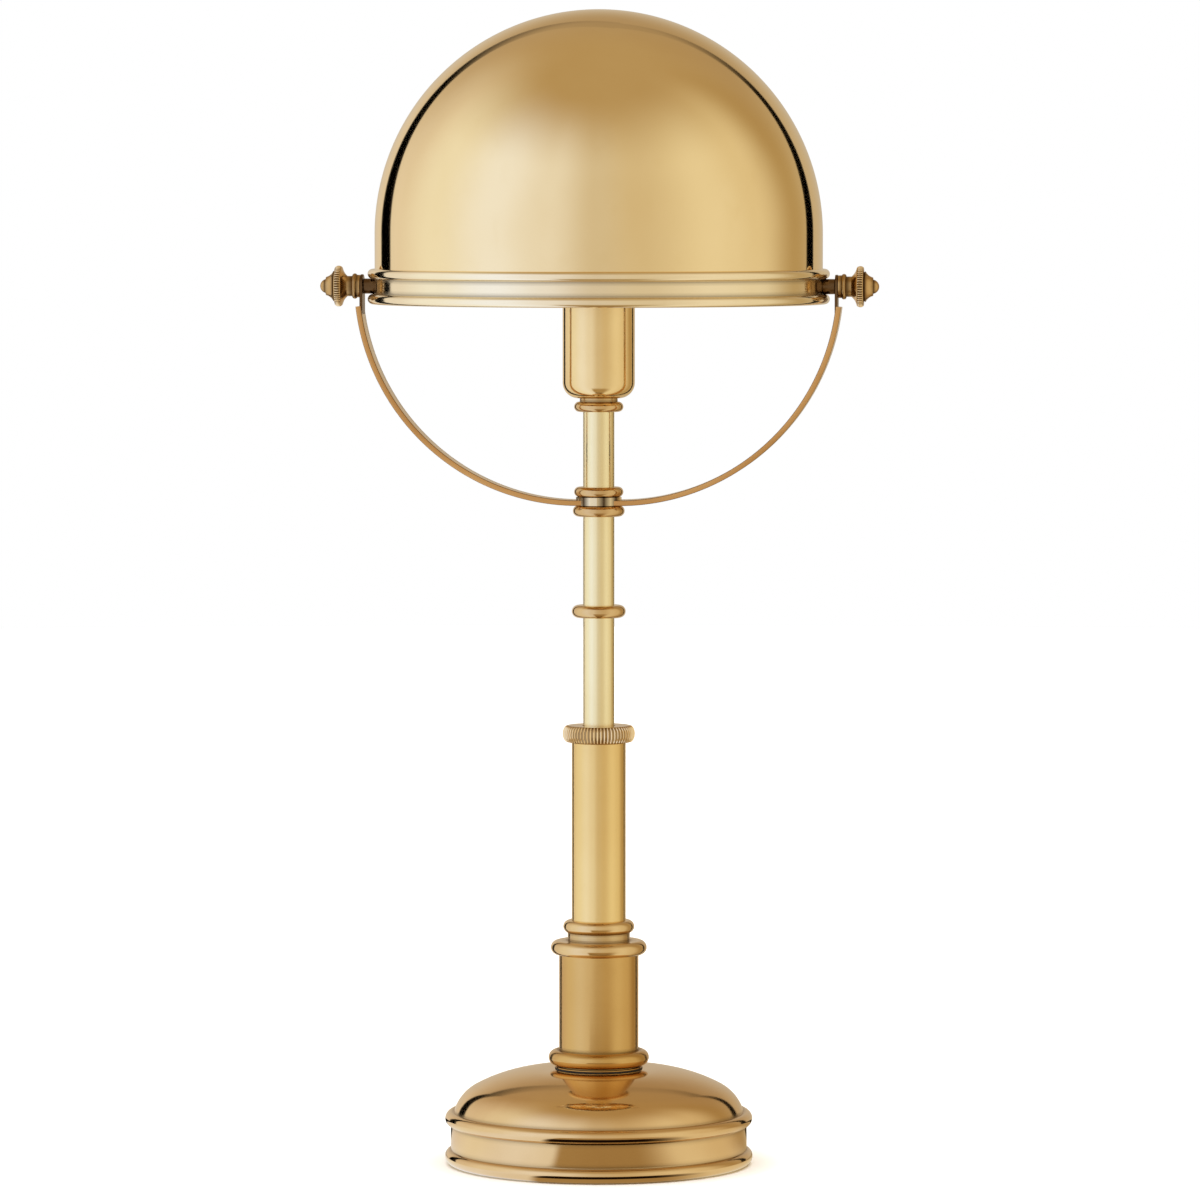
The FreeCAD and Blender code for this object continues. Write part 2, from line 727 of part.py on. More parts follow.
def grub_hole(bead):
    """Cutter for the grub screw at the back of a ring."""
    return along_y(rod(GRUB_R + FIT, 0, bead.nose[0]), STEM_R - CUT, bead.nose[1])


def locked_ring(bead):
    return ring(bead, STEM_R).cut(grub_hole(bead))


def stop_ring():
    return locked_ring(STOP_RING)


def lower_collar():
    return locked_ring(LOW_COLLAR)


def upper_collar():
    return locked_ring(HIGH_COLLAR)


def grub_screws():
    screws = []
    for bead in (STOP_RING, LOW_COLLAR, HIGH_COLLAR):
        length = bead.nose[0] - GRUB_INSET - STEM_R
        screws.append(along_y(rod(GRUB_R, 0, length), STEM_R, bead.nose[1]))
    return screws


# ---- yoke ----

def strap_half():
    """The right half of the strap's bow, up to the step under the ear."""
    centre_z = EYE_FOOT + STRAP_R
    inner_r = STRAP_R - STRAP_T
    step_z = PIVOT_Z - EAR_RUN
    ends = []
    for radius in (STRAP_R, inner_r):
        turn = math.asin((centre_z - step_z) / radius)
        middle = (math.pi / 2 + turn) / 2
        for angle in (middle, turn):
            run = STRAP_FLAT_HALF + radius * math.cos(angle)
            ends.append((run, centre_z - radius * math.sin(angle)))
    outer_mid, outer_end, inner_mid, inner_end = ends
    band = outline(
        (0, EYE_FOOT),
        (
            (STRAP_FLAT_HALF, EYE_FOOT),
            (outer_mid, outer_end),
            inner_end,
            (inner_mid, (STRAP_FLAT_HALF, EYE_FOOT + STRAP_T)),
            (0, EYE_FOOT + STRAP_T),
        ),
    )
    solid = band.extrude(V(0, STRAP_W, 0))
    solid.translate(V(0, -STRAP_W / 2, 0))
    return rounded_end(solid, outer_end)


def rounded_end(solid, corner):
    """Rounds the strap's outer edge where it stops under the ear."""
    edges = []
    for edge in solid.Edges:
        middle = edge.CenterOfMass
        if math.hypot(middle.x - corner[0], middle.z - corner[1]) < 0.01:
            edges.append(edge)
    return solid.makeFillet(STRAP_END_ROUND, edges)


def ear():
    """Flat ear with a round end at the pivot, let into the strap at its foot."""
    foot = PIVOT_Z - EAR_RUN - EAR_ROOT
    size = PIVOT_Z - foot
    plate = Part.makeBox(EAR_T, 2 * EAR_HALF_W, size, V(EAR_IN, -EAR_HALF_W, foot))
    end = along_x(rod(EAR_HALF_W, 0, EAR_T), 1, EAR_IN)
    return plate.fuse(end)


def yoke_strap():
    half = strap_half().fuse(ear())
    hole = along_x(rod(STUD_R + FIT, 0, EAR_T + 2 * CUT), 1, EAR_IN - CUT)
    half = half.cut(hole)
    other = half.mirror(V(0, 0, 0), V(1, 0, 0))
    bow = half.fuse([other, rod(EYE_R, EYE_FOOT, EYE_TOP)])
    return bow.removeSplitter().cut(rod(STEM_R, EYE_FOOT - CUT, EYE_TOP + CUT))


# ---- shade ----

def shade_dome():
    inner_r = SHADE_R - SHADE_WALL
    half = math.sqrt(0.5)
    return lathe(
        (inner_r, RIM_LEDGE),
        (SHADE_R, RIM_LEDGE),
        (SHADE_R, SHADE_CENTRE),
        ((SHADE_R * half, SHADE_CENTRE + SHADE_R * half), (0, SHADE_CENTRE + SHADE_R)),
        (0, SHADE_CENTRE + inner_r),
        ((inner_r * half, SHADE_CENTRE + inner_r * half), (inner_r, SHADE_CENTRE)),
    )


def shade_rim():
    inner_r = RIM_BAND_R - RIM_T
    blank = lathe(
        (inner_r, RIM_LOW_BEAD.low),
        (RIM_LOW_BEAD.core_r, RIM_LOW_BEAD.low),
        (RIM_LOW_BEAD.nose, RIM_LOW_BEAD.meets(RIM_BAND_R, 1)),
        RIM_HIGH_BEAD.meets(RIM_BAND_R, -1),
        (RIM_HIGH_BEAD.nose, (RIM_HIGH_BEAD.core_r, RIM_HIGH_BEAD.high)),
        (SHADE_R, RIM_HIGH_BEAD.high),
        (SHADE_R, RIM_LEDGE),
        (inner_r, RIM_LEDGE),
    )
    drill = rod(STUD_R + FIT, 0, 2 * RIM_BEAD_R)
    return blank.cut(along_x(drill, 1, -RIM_BEAD_R))


def inner_face():
    """|x| of the flat inner washer's outer side, against the round inside of the rim."""
    return math.sqrt((RIM_BAND_R - RIM_T) ** 2 - INNER_WASHER_R ** 2)


def pair(solid, start):
    """The same turned piece on the left and right pivots."""
    return [along_x(solid, -1, start), along_x(solid, 1, start)]


def pivot_spacers():
    length = EAR_IN - THRUST - RIM_BAND_R
    return pair(tube(STUD_R + FIT, SPACER_R, 0, length), RIM_BAND_R)


def inner_washers():
    washer = tube(STUD_R + FIT, INNER_WASHER_R, 0, INNER_WASHER_T)
    return pair(washer, inner_face() - INNER_WASHER_T)


def inner_nuts():
    nut = hex_nut(INNER_NUT_AF, STUD_R, 0, INNER_NUT_H)
    return pair(nut, inner_face() - INNER_WASHER_T - INNER_NUT_H)


def pivot_studs():
    start = inner_face() - INNER_WASHER_T - INNER_NUT_H - STUD_TAIL
    end = KNOB_FACE + KNOB_HOLE_L - AIR
    return pair(rod(STUD_R, 0, end - start), start)


def knob(side):
    """Finial knob: bead, neck, ribbed disc, stepped cone and a button at the tip."""
    bead_end = KNOB_FACE_L + KNOB_BEAD_L
    cove_foot = (KNOB_NECK_R, bead_end + KNOB_NECK_L)
    disc_foot = cove_foot[1] + KNOB_COVE_L
    disc_end = disc_foot + KNOB_DISC_L
    edge_r = KNOB_DISC_R - KNOB_DISC_EDGE
    cove_top = (edge_r, disc_foot)
    cone_foot = (KNOB_STEP_R, disc_end + KNOB_STEP_L)
    cone_top = (KNOB_CONE_R, cone_foot[1] + KNOB_CONE_L)
    tip = (0, cone_top[1] + KNOB_TIP_L)
    low = disc_foot + KNOB_DISC_EDGE
    high = disc_end - KNOB_DISC_EDGE
    blank = lathe(
        (0, 0),
        (KNOB_FACE_R, 0),
        (KNOB_FACE_R, KNOB_FACE_L),
        ((KNOB_BEAD_R, KNOB_FACE_L + KNOB_BEAD_L / 2), (KNOB_FACE_R, bead_end)),
        (KNOB_NECK_R, bead_end),
        cove_foot,
        (bulge(cove_foot, cove_top, -KNOB_COVE_SAG), cove_top),
        (KNOB_DISC_R, low),
        (KNOB_DISC_R, high),
        (edge_r, disc_end),
        (KNOB_GROOVE_R, disc_end),
        cone_foot,
        (bulge(cone_foot, cone_top, -KNOB_CONE_SAG), cone_top),
        (KNOB_TIP_R, cone_top[1]),
        (dome_mid(KNOB_TIP_R, cone_top[1], tip[1]), tip),
    )
    blank = blank.cut(rod(STUD_R + FIT, 0, KNOB_HOLE_L))
    root_r = KNOB_DISC_R - KNOB_RIB_DEPTH
    blank = ribbed(blank, root_r, KNOB_DISC_R, KNOB_RIB_COUNT, low, high)
    return along_x(blank, side, KNOB_FACE)


# ---- lampholder ----

def cup_ring():
    thread_r = NIPPLE_R + FIT
    return lathe(
        (STEM_R, CUP_RING.low),
        (CUP_RING.core_r, CUP_RING.low),
        (CUP_RING.nose, (CUP_RING.core_r, CUP_RING.high)),
        (CUP_NECK_R, CUP_RING.high),
        (CUP_NECK_R, CUP_FOOT),
        (thread_r, CUP_FOOT),
        (thread_r, STEM_TOP),
        (STEM_R, STEM_TOP),
    )


def corner_mid(centre_r, centre_z, radius):
    """Middle of a quarter round that turns from a floor up into a wall."""
    reach = radius * math.sqrt(0.5)
    return (centre_r + reach, centre_z - reach)


def socket_cup():
    turn_r = CUP_R - CUP_CORNER
    turn_z = CUP_FOOT + CUP_CORNER
    inner = CUP_CORNER - CUP_WALL
    top = CUP_FOOT + CUP_H
    hole_r = NIPPLE_R + FIT
    return lathe(
        (hole_r, CUP_FOOT),
        (turn_r, CUP_FOOT),
        (corner_mid(turn_r, turn_z, CUP_CORNER), (CUP_R, turn_z)),
        (CUP_R, top),
        (CUP_R - CUP_WALL, top),
        (CUP_R - CUP_WALL, turn_z),
        (corner_mid(turn_r, turn_z, inner), (turn_r, CUP_FOOT + CUP_WALL)),
        (hole_r, CUP_FOOT + CUP_WALL),
    )


def holder_nipple():
    return tube(NIPPLE_BORE_R, NIPPLE_R, STEM_TOP, STEM_TOP + NIPPLE_L)


def nipple_nut():
    foot = CUP_FOOT + CUP_WALL
    return hex_nut(HOLDER_NUT_AF, NIPPLE_R + FIT, foot, foot + HOLDER_NUT_H)


def insulating_liner():
    foot = CUP_FOOT + LINER_UP
    return tube(LINER_R - LINER_WALL, LINER_R, foot, foot + LINER_L)


def terminal_screw(room, head_end):
    return lathe(
        (0, 0),
        (TERMINAL_R + room, 0),
        (TERMINAL_R + room, TERMINAL_L),
        (TERMINAL_HEAD_R + room, TERMINAL_L),
        (TERMINAL_HEAD_R + room, head_end),
        (0, head_end),
    )


def terminal_screws(room=0.0, over=0.0):
    """Two screws across the holder's floor, front and back, or their larger and longer cutters."""
    start = HOLDER_R - AIR - TERMINAL_HEAD_T - TERMINAL_L
    screw = terminal_screw(room, TERMINAL_L + TERMINAL_HEAD_T + over)
    back = along_y(screw, start, HOLDER_FOOT + TERMINAL_UP)
    return [back, back.mirror(V(0, 0, 0), V(0, 1, 0))]


def holder_body():
    cavity_r = THREAD_SHELL_R + FIT
    blank = lathe(
        (NIPPLE_R + FIT, HOLDER_FOOT),
        (HOLDER_R, HOLDER_FOOT),
        (HOLDER_R, HOLDER_FOOT + HOLDER_L),
        (cavity_r, HOLDER_FOOT + HOLDER_L),
        (cavity_r, THREAD_SHELL_FOOT),
        (CAP_R, THREAD_SHELL_FOOT),
        (CAP_R, HOLDER_FLOOR),
        (NIPPLE_R + FIT, HOLDER_FLOOR),
    )
    return blank.cut(terminal_screws(FIT, CUT))


def screw_shell():
    bore_r = THREAD_SHELL_R - THREAD_SHELL_WALL
    top = THREAD_SHELL_FOOT + THREAD_SHELL_L
    return tube(bore_r, THREAD_SHELL_R, THREAD_SHELL_FOOT, top)


def centre_contact():
    plate_top = HOLDER_FLOOR + CONTACT_T
    return lathe(
        (0, HOLDER_FLOOR),
        (CONTACT_R, HOLDER_FLOOR),
        (CONTACT_R, plate_top),
        (CONTACT_LEAF_R, plate_top),
        (CONTACT_LEAF_R, BULB_TIP),
        (0, BULB_TIP),
    )


# ---- bulb ----

def bulb_cap():
    return tube(CAP_R - CAP_WALL, CAP_R, CAP_FOOT, CAP_TOP)


def bulb_contact():
    """Insulating cone with the end contact, closing the cap's foot."""
    return lathe(
        (0, BULB_TIP),
        (TIP_R, BULB_TIP),
        (TIP_R, BULB_TIP + TIP_H),
        (CAP_R - CAP_WALL, CAP_FOOT),
        (CAP_R - CAP_WALL, CAP_FOOT + TIP_PLATE_T),
        (0, CAP_FOOT + TIP_PLATE_T),
    )


def globe_join(globe_r, neck_r):
    """Height below the globe's centre where the globe turns into the neck."""
    return GLOBE_Z - math.sqrt(globe_r ** 2 - neck_r ** 2)


def bulb_glass():
    foot = CAP_TOP - GLASS_LAP
    inner_globe = GLOBE_R - GLOBE_WALL
    inner_neck = GLASS_NECK_R - GLOBE_WALL
    return lathe(
        (inner_neck, foot),
        (GLASS_NECK_R, foot),
        (GLASS_NECK_R, globe_join(GLOBE_R, GLASS_NECK_R)),
        ((GLOBE_R, GLOBE_Z), (0, GLOBE_Z + GLOBE_R)),
        (0, GLOBE_Z + inner_globe),
        ((inner_globe, GLOBE_Z), (inner_neck, globe_join(inner_globe, inner_neck))),
    )


def all_parts():
    """Every sub-part by name. A list is a group of identical pieces."""
    return {
        "felt_pad": felt_pad(),
        "base_plate": base_plate(),
        "plate_screws": plate_screws(),
        "base_weight": base_weight(),
        "base_shell": base_shell(),
        "cord_bush": cord_bush(),
        "bush_retainer": bush_retainer(),
        "tie_tube": tie_tube(),
        "tie_nut": tie_nut(),
        "tie_washer": tie_washer(),
        "pedestal_gasket": pedestal_gasket(),
        "pedestal_sleeve": pedestal_sleeve(),
        "pedestal_reducer": pedestal_reducer(),
        "column_tube": column_tube(),
        "column_foot": column_foot(),
        "column_head": column_head(),
        "collet": collet(),
        "clamp_nut": clamp_nut(),
        "guide_bush": guide_bush(),
        "stem_tube": stem_tube(),
        "retaining_rings": retaining_rings(),
        "stop_ring": stop_ring(),
        "lower_collar": lower_collar(),
        "yoke_strap": yoke_strap(),
        "upper_collar": upper_collar(),
        "grub_screws": grub_screws(),
        "cup_ring": cup_ring(),
        "socket_cup": socket_cup(),
        "holder_nipple": holder_nipple(),
        "nipple_nut": nipple_nut(),
        "insulating_liner": insulating_liner(),
        "holder_body": holder_body(),
        "screw_shell": screw_shell(),
        "centre_contact": centre_contact(),
        "terminal_screws": terminal_screws(),
        "bulb_cap": bulb_cap(),
        "bulb_contact": bulb_contact(),
        "bulb_glass": bulb_glass(),
        "shade_rim": shade_rim(),
        "shade_dome": shade_dome(),
        "pivot_studs": pivot_studs(),
        "pivot_spacers": pivot_spacers(),
        "inner_washers": inner_washers(),
        "inner_nuts": inner_nuts(),
        "left_knob": knob(-1),
        "right_knob": knob(1),
    }


os.makedirs("parts", exist_ok=True)
for name, made in all_parts().items():
    shape = Part.makeCompound(made) if isinstance(made, list) else made
    shape.exportStep("parts/" + name + ".step")
    print(name, "valid" if shape.isValid() else "NOT VALID", len(shape.Solids), round(shape.Volume, 1))
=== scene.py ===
"""The looks of a brass dome shade desk lamp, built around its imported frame.

Lengths in the dataclasses are millimetres in the frame's own axes: +Z is up, the front faces -Y and
the two knobs stand out along X. Meshes are made in metres.
"""

import logging
import math
from collections.abc import Callable, Sequence
from dataclasses import dataclass
from enum import Enum

import bpy
import numpy as np
from mathutils import Matrix, Vector


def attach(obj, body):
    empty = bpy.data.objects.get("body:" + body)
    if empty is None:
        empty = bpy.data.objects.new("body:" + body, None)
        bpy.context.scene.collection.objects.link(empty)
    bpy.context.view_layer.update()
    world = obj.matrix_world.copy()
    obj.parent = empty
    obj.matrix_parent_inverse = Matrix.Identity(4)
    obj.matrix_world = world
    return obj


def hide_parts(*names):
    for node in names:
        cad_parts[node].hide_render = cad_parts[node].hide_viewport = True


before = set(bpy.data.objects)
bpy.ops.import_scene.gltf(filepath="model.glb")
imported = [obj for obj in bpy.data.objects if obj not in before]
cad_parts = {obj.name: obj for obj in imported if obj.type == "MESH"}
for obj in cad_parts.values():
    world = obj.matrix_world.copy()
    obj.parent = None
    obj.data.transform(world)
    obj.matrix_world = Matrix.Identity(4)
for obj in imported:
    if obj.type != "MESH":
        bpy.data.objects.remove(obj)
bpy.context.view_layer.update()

LOG = logging.getLogger("lamp")
MM = 0.001
# Vertex attribute of painted shade in hollow corners, mixed with tarnish.
SHADE_AND_TARNISH = "shade_and_tarnish"
SMOOTH_LIMIT = math.radians(32)
FINE_STEP = math.radians(1.0)
TINY = 1e-6
HALF_ROOT = math.sqrt(0.5)


def radians(*degrees: float) -> tuple[float, ...]:
    """Turns angles in degrees into radians."""
    return tuple(math.radians(angle) for angle in degrees)


Point = tuple[float, float]
Colour = tuple[float, float, float]
Bead = tuple[float, float, float]  # nose radius, middle height, half thickness


class Side(Enum):
    """Which end of the pivot axis a piece sits on."""

    LEFT = -1
    RIGHT = 1


class Grain(Enum):
    """Direction of the tool marks that polishing leaves on a metal piece."""

    ROUND_Z = (30.0, 30.0, 900.0)
    ROUND_X = (900.0, 40.0, 40.0)
    ALONG_BOW = (60.0, 900.0, 60.0)
    NONE = (220.0, 220.0, 220.0)


# ---------------------------------------------------------------- nodes


class Nodes:
    """A node tree that is filled by short calls."""

    def __init__(self, tree: bpy.types.NodeTree) -> None:
        """Takes over a node tree and empties it.

        Args:
            tree: The tree of a material, a world, a group or a modifier.
        """
        self.tree = tree
        tree.nodes.clear()

    def add(
        self, kind: str, wires: dict[str | int, object] | None = None, **settings: object
    ) -> bpy.types.Node:
        """Adds a node.

        Args:
            kind: Blender's name of the node type.
            wires: What goes into its inputs, as for wire.
            **settings: Properties set on the new node.

        Returns:
            The node.
        """
        node = self.tree.nodes.new(kind)
        for key, value in settings.items():
            setattr(node, key, value)
        self.wire(node, wires or {})
        return node

    def wire(self, node: bpy.types.Node, wires: dict[str | int, object]) -> None:
        """Fills inputs of a node.

        Args:
            node: The node.
            wires: Socket or plain value for each input, by the input's name or number.
        """
        for key, value in wires.items():
            if isinstance(value, bpy.types.NodeSocket):
                self.tree.links.new(value, node.inputs[key])
            else:
                node.inputs[key].default_value = value

    def math(self, operation: str, *values: object, clamp: bool = False) -> bpy.types.NodeSocket:
        """Adds a Math node.

        Args:
            operation: The operation's name.
            *values: Sockets or numbers for its inputs.
            clamp: Whether the result is kept between 0 and 1.

        Returns:
            The result socket.
        """
        wires = dict(enumerate(values))
        return self.add("ShaderNodeMath", wires, operation=operation, use_clamp=clamp).outputs[0]


class Sheet(Nodes):
    """A shader node tree."""

    def span(
        self, value: object, low: float, high: float, start: float = 0.0, end: float = 1.0
    ) -> bpy.types.NodeSocket:
        """Maps a range smoothly onto another one.

        Args:
            value: The socket to map.
            low: Value that becomes the start.
            high: Value that becomes the end.
            start: Result at the low value.
            end: Result at the high value.

        Returns:
            The result socket.
        """
        wires = dict(enumerate((value, low, high, start, end)))
        node = self.add("ShaderNodeMapRange", wires, interpolation_type="SMOOTHSTEP")
        return node.outputs[0]

    def mix(self, share: object, first: object, second: object) -> bpy.types.NodeSocket:
        """Mixes two colours.

        Args:
            share: How much of the second colour is used.
            first: Socket or colour.
            second: Socket or colour.

        Returns:
            The colour socket.
        """
        first, second = (c + (1.0,) if isinstance(c, tuple) else c for c in (first, second))
        wires = {"Factor": share, 6: first, 7: second}
        return self.add("ShaderNodeMix", wires, data_type="RGBA", clamp_factor=True).outputs[2]

    def ramp(self, share: object, stops: Sequence[tuple[float, Colour]]) -> bpy.types.NodeSocket:
        """Adds a colour ramp.

        Args:
            share: Socket that runs from 0 to 1.
            stops: Pairs of position and colour.

        Returns:
            The colour socket.
        """
        node = self.add("ShaderNodeValToRGB", {0: share})
        node.color_ramp.interpolation = "EASE"
        elements = node.color_ramp.elements
        while len(elements) < len(stops):
            elements.new(0.5)
        for element, (place, colour) in zip(elements, stops):
            element.position = place
            element.color = colour + (1.0,)
        return node.outputs[0]

    def noise(self, vector: object, scale: Sequence[float], detail: float) -> bpy.types.NodeSocket:
        """Adds a noise that is stretched along the axes.

        Args:
            vector: Coordinates in metres.
            scale: Number of waves per metre along X, Y and Z.
            detail: Octaves.

        Returns:
            The value socket, about 0.5 on average.
        """
        mapping = self.add("ShaderNodeMapping", {"Scale": tuple(scale), "Vector": vector})
        wires = {"Scale": 1.0, "Detail": detail, "Vector": mapping.outputs[0]}
        return self.add("ShaderNodeTexNoise", wires).outputs[0]

    def bump(self, height: object, strength: float, distance: float) -> bpy.types.NodeSocket:
        """Adds a Bump node.

        Args:
            height: Socket that gives the height.
            strength: How much of the bump shows.
            distance: Height of the bump in metres.

        Returns:
            The normal socket.
        """
        wires = {"Strength": strength, "Distance": distance, "Height": height}
        return self.add("ShaderNodeBump", wires).outputs[0]


# ---------------------------------------------------------------- finishes


def new_material(name: str) -> tuple[bpy.types.Material, Sheet, bpy.types.Node]:
    """Makes an empty material with one principled shader.

    Args:
        name: Name of the material.

    Returns:
        The material, its sheet and its shader node.
    """
    material = bpy.data.materials.new(name)
    material.use_nodes = True
    sheet = Sheet(material.node_tree)
    shader = sheet.add("ShaderNodeBsdfPrincipled")
    sheet.add("ShaderNodeOutputMaterial", {0: shader.outputs[0]})
    return material, sheet, shader


@dataclass(frozen=True)
class Metal:
    """A polished or turned metal with tool marks, soft colour clouds and painted shade with tarnish
    in corners.
    """

    name: str
    clean: Colour
    aged: Colour
    clouds: float = 0.35
    roughness: float = 0.16
    spread: float = 0.05
    grain: Grain = Grain.ROUND_Z
    marks: float = 0.03
    # How dark the painted shade and tarnish in hollow corners get.
    corner_shade: float = 0.75
    CLOUD_WAVES = (16.0, 16.0, 11.0)
    CLOUD_SPAN = (0.36, 0.66)
    SPECK_WAVES = (95.0, 95.0, 70.0)
    SPECK_SPAN = (0.55, 0.8)
    SPECK_SHARE = 0.35  # of the clouds
    # Colour and roughness of the painted shade with tarnish in hollow corners.
    SHADE_AND_DIRT_TINT = 0.30  # of the aged colour
    SHADE_AND_DIRT_ROUGH = 0.25
    MARK_HEIGHT = 0.0002

    def material(self) -> bpy.types.Material:
        """Builds the metal's node material."""
        material, sheet, shader = new_material(self.name)
        place = sheet.add("ShaderNodeTexCoord").outputs["Object"]
        soft = sheet.noise(place, self.CLOUD_WAVES, 3.0)
        fine = sheet.noise(place, self.SPECK_WAVES, 4.0)
        lines = sheet.noise(place, self.grain.value, 2.0)
        cloud = sheet.math("MULTIPLY", sheet.span(soft, *self.CLOUD_SPAN), self.clouds)
        speck = sheet.span(fine, *self.SPECK_SPAN)
        speck = sheet.math("MULTIPLY", speck, self.SPECK_SHARE * self.clouds)
        age = sheet.math("ADD", cloud, speck, clamp=True)
        # Hollow corners get painted shade mixed with tarnish: a darker, rougher colour.
        corner = sheet.add("ShaderNodeAttribute", attribute_name=SHADE_AND_TARNISH).outputs["Fac"]
        shade_and_dirt = sheet.math("MULTIPLY", corner, self.corner_shade, clamp=True)
        deep = tuple(self.SHADE_AND_DIRT_TINT * c for c in self.aged)
        rough = sheet.math("SUBTRACT", lines, 0.5)
        rough = sheet.math("MULTIPLY_ADD", rough, self.spread, self.roughness)
        rough = sheet.math("MULTIPLY_ADD", age, self.spread, rough)
        looks = {
            "Base Color": sheet.mix(shade_and_dirt, sheet.mix(age, self.clean, self.aged), deep),
            "Metallic": 1.0,
            "Roughness": sheet.math("MULTIPLY_ADD", shade_and_dirt, self.SHADE_AND_DIRT_ROUGH, rough, clamp=True),
            "Normal": sheet.bump(lines, self.marks, self.MARK_HEIGHT),
        }
        sheet.wire(shader, looks)
        return material


@dataclass(frozen=True)
class Matt:
    """A painted, moulded, cast or woven material that isn't polished metal."""

    name: str
    light: Colour
    dark: Colour
    roughness: float = 0.5
    grain: float = 400.0
    bump: float = 0.2
    metallic: float = 0.0

    WIDE_SHARE = 0.07  # of the fine grain's waves per metre
    COLOUR_SPAN = (0.35, 0.65)
    ROUGH_SPREAD = 0.12
    GRAIN_HEIGHT = 0.0003

    def material(self) -> bpy.types.Material:
        """Builds the node material."""
        material, sheet, shader = new_material(self.name)
        place = sheet.add("ShaderNodeTexCoord").outputs["Object"]
        fine = sheet.noise(place, (self.grain,) * 3, 5.0)
        wide = sheet.noise(place, (self.WIDE_SHARE * self.grain,) * 3, 3.0)
        share = sheet.math("MULTIPLY_ADD", fine, 0.6, sheet.math("MULTIPLY", wide, 0.4))
        least = self.roughness - self.ROUGH_SPREAD / 2
        looks = {
            "Base Color": sheet.mix(sheet.span(share, *self.COLOUR_SPAN), self.dark, self.light),
            "Metallic": self.metallic,
            "Roughness": sheet.math("MULTIPLY_ADD", wide, self.ROUGH_SPREAD, least, clamp=True),
            "Normal": sheet.bump(fine, self.bump, self.GRAIN_HEIGHT),
        }
        sheet.wire(shader, looks)
        return material


@dataclass(frozen=True)
class FrostedGlass:
    """White frosted glass of the bulb."""

    name: str
    tint: Colour

    FROST_WAVES = (700.0, 700.0, 700.0)
    DULL_TINT = 0.94

    def material(self) -> bpy.types.Material:
        """Builds the glass material."""
        material, sheet, shader = new_material(self.name)
        place = sheet.add("ShaderNodeTexCoord").outputs["Object"]
        frost = sheet.noise(place, self.FROST_WAVES, 3.0)
        dull = tuple(self.DULL_TINT * c for c in self.tint)
        looks = {
            "Base Color": sheet.mix(sheet.span(frost, 0.3, 0.7), dull, self.tint),
            "Roughness": sheet.math("MULTIPLY_ADD", frost, 0.08, 0.26),
            "IOR": 1.5,
            "Subsurface Weight": 0.15,
            "Coat Weight": 0.3,
            "Coat Roughness": 0.08,
        }
        sheet.wire(shader, looks)
        return material


SHADE_BRASS = Metal(
    "shade_brass", (0.94, 0.76, 0.46), (0.88, 0.68, 0.37), 0.5, 0.065, 0.014, Grain.ROUND_Z, 0.002
)
RIM_BRASS = Metal(
    "rim_brass", (0.97, 0.85, 0.62), (0.88, 0.70, 0.46), 0.4, 0.09, 0.03, Grain.ROUND_Z, 0.01, 0.6
)
BASE_BRASS = Metal(
    "base_brass", (0.83, 0.60, 0.32), (0.72, 0.48, 0.23),
    0.5, 0.09, 0.03, Grain.ROUND_Z, 0.008, 0.45
)
PEDESTAL_BRASS = Metal(
    "pedestal_brass", (0.69, 0.44, 0.16), (0.57, 0.33, 0.10),
    0.5, 0.15, 0.05, Grain.ROUND_Z, 0.02, 0.6
)
COLUMN_BRASS = Metal(
    "column_brass", (0.90, 0.67, 0.31), (0.82, 0.56, 0.22), 0.5, 0.17, 0.05, Grain.ROUND_Z, 0.02
)
STEM_BRASS = Metal(
    "stem_brass", (0.96, 0.85, 0.55), (0.90, 0.74, 0.42), 0.4, 0.17, 0.05, Grain.ROUND_Z, 0.02
)
RING_BRASS = Metal(
    "ring_brass", (0.80, 0.58, 0.30), (0.60, 0.37, 0.16), 0.55, 0.11, 0.05, Grain.ROUND_Z, 0.02, 0.6
)
CUP_BRASS = Metal(
    "cup_brass", (0.93, 0.72, 0.39), (0.80, 0.56, 0.25), 0.45, 0.11, 0.03, Grain.ROUND_Z, 0.015
)
YOKE_BRASS = Metal(
    "yoke_brass", (0.86, 0.70, 0.48), (0.72, 0.53, 0.31), 0.5, 0.16, 0.05, Grain.ALONG_BOW, 0.02
)
# Painted shade on the bow's front and back faces.
YOKE_FRONT_SHADE = Metal(
    "yoke_front_shade", (0.74, 0.43, 0.17), (0.56, 0.28, 0.09), 0.6, 0.3, 0.06, Grain.ALONG_BOW, 0.04
)
# Darker painted shade on the bow's slanted corner faces.
YOKE_CORNER_SHADE = Metal(
    "yoke_corner_shade", (0.20, 0.11, 0.05), (0.10, 0.05, 0.02), 0.6, 0.3, 0.06, Grain.ALONG_BOW, 0.04
)
# The eye's dark aged colour is painted shade of the recess between the collars; its clean colour
# gives painted glints.
EYE_BRASS = Metal(
    "eye_brass", (0.97, 0.82, 0.56), (0.22, 0.12, 0.05), 0.12, 0.08, 0.02, Grain.NONE, 0.01, 1.0
)
RIB_BRASS = Metal(
    "rib_brass", (0.94, 0.75, 0.48), (0.80, 0.58, 0.32), 0.3, 0.1, 0.03, Grain.NONE, 0.01
)
KNOB_BRASS = Metal(
    "knob_brass", (0.70, 0.46, 0.20), (0.38, 0.20, 0.07), 0.45, 0.14, 0.05, Grain.ROUND_X, 0.02, 0.9
)
PIVOT_BRASS = Metal(
    "pivot_brass", (0.16, 0.09, 0.04), (0.07, 0.038, 0.016), 0.7, 0.24, 0.06, Grain.ROUND_X, 0.04
)
RAW_BRASS = Metal(
    "raw_brass", (0.80, 0.62, 0.34), (0.60, 0.42, 0.20), 0.6, 0.34, 0.1, Grain.NONE, 0.08
)
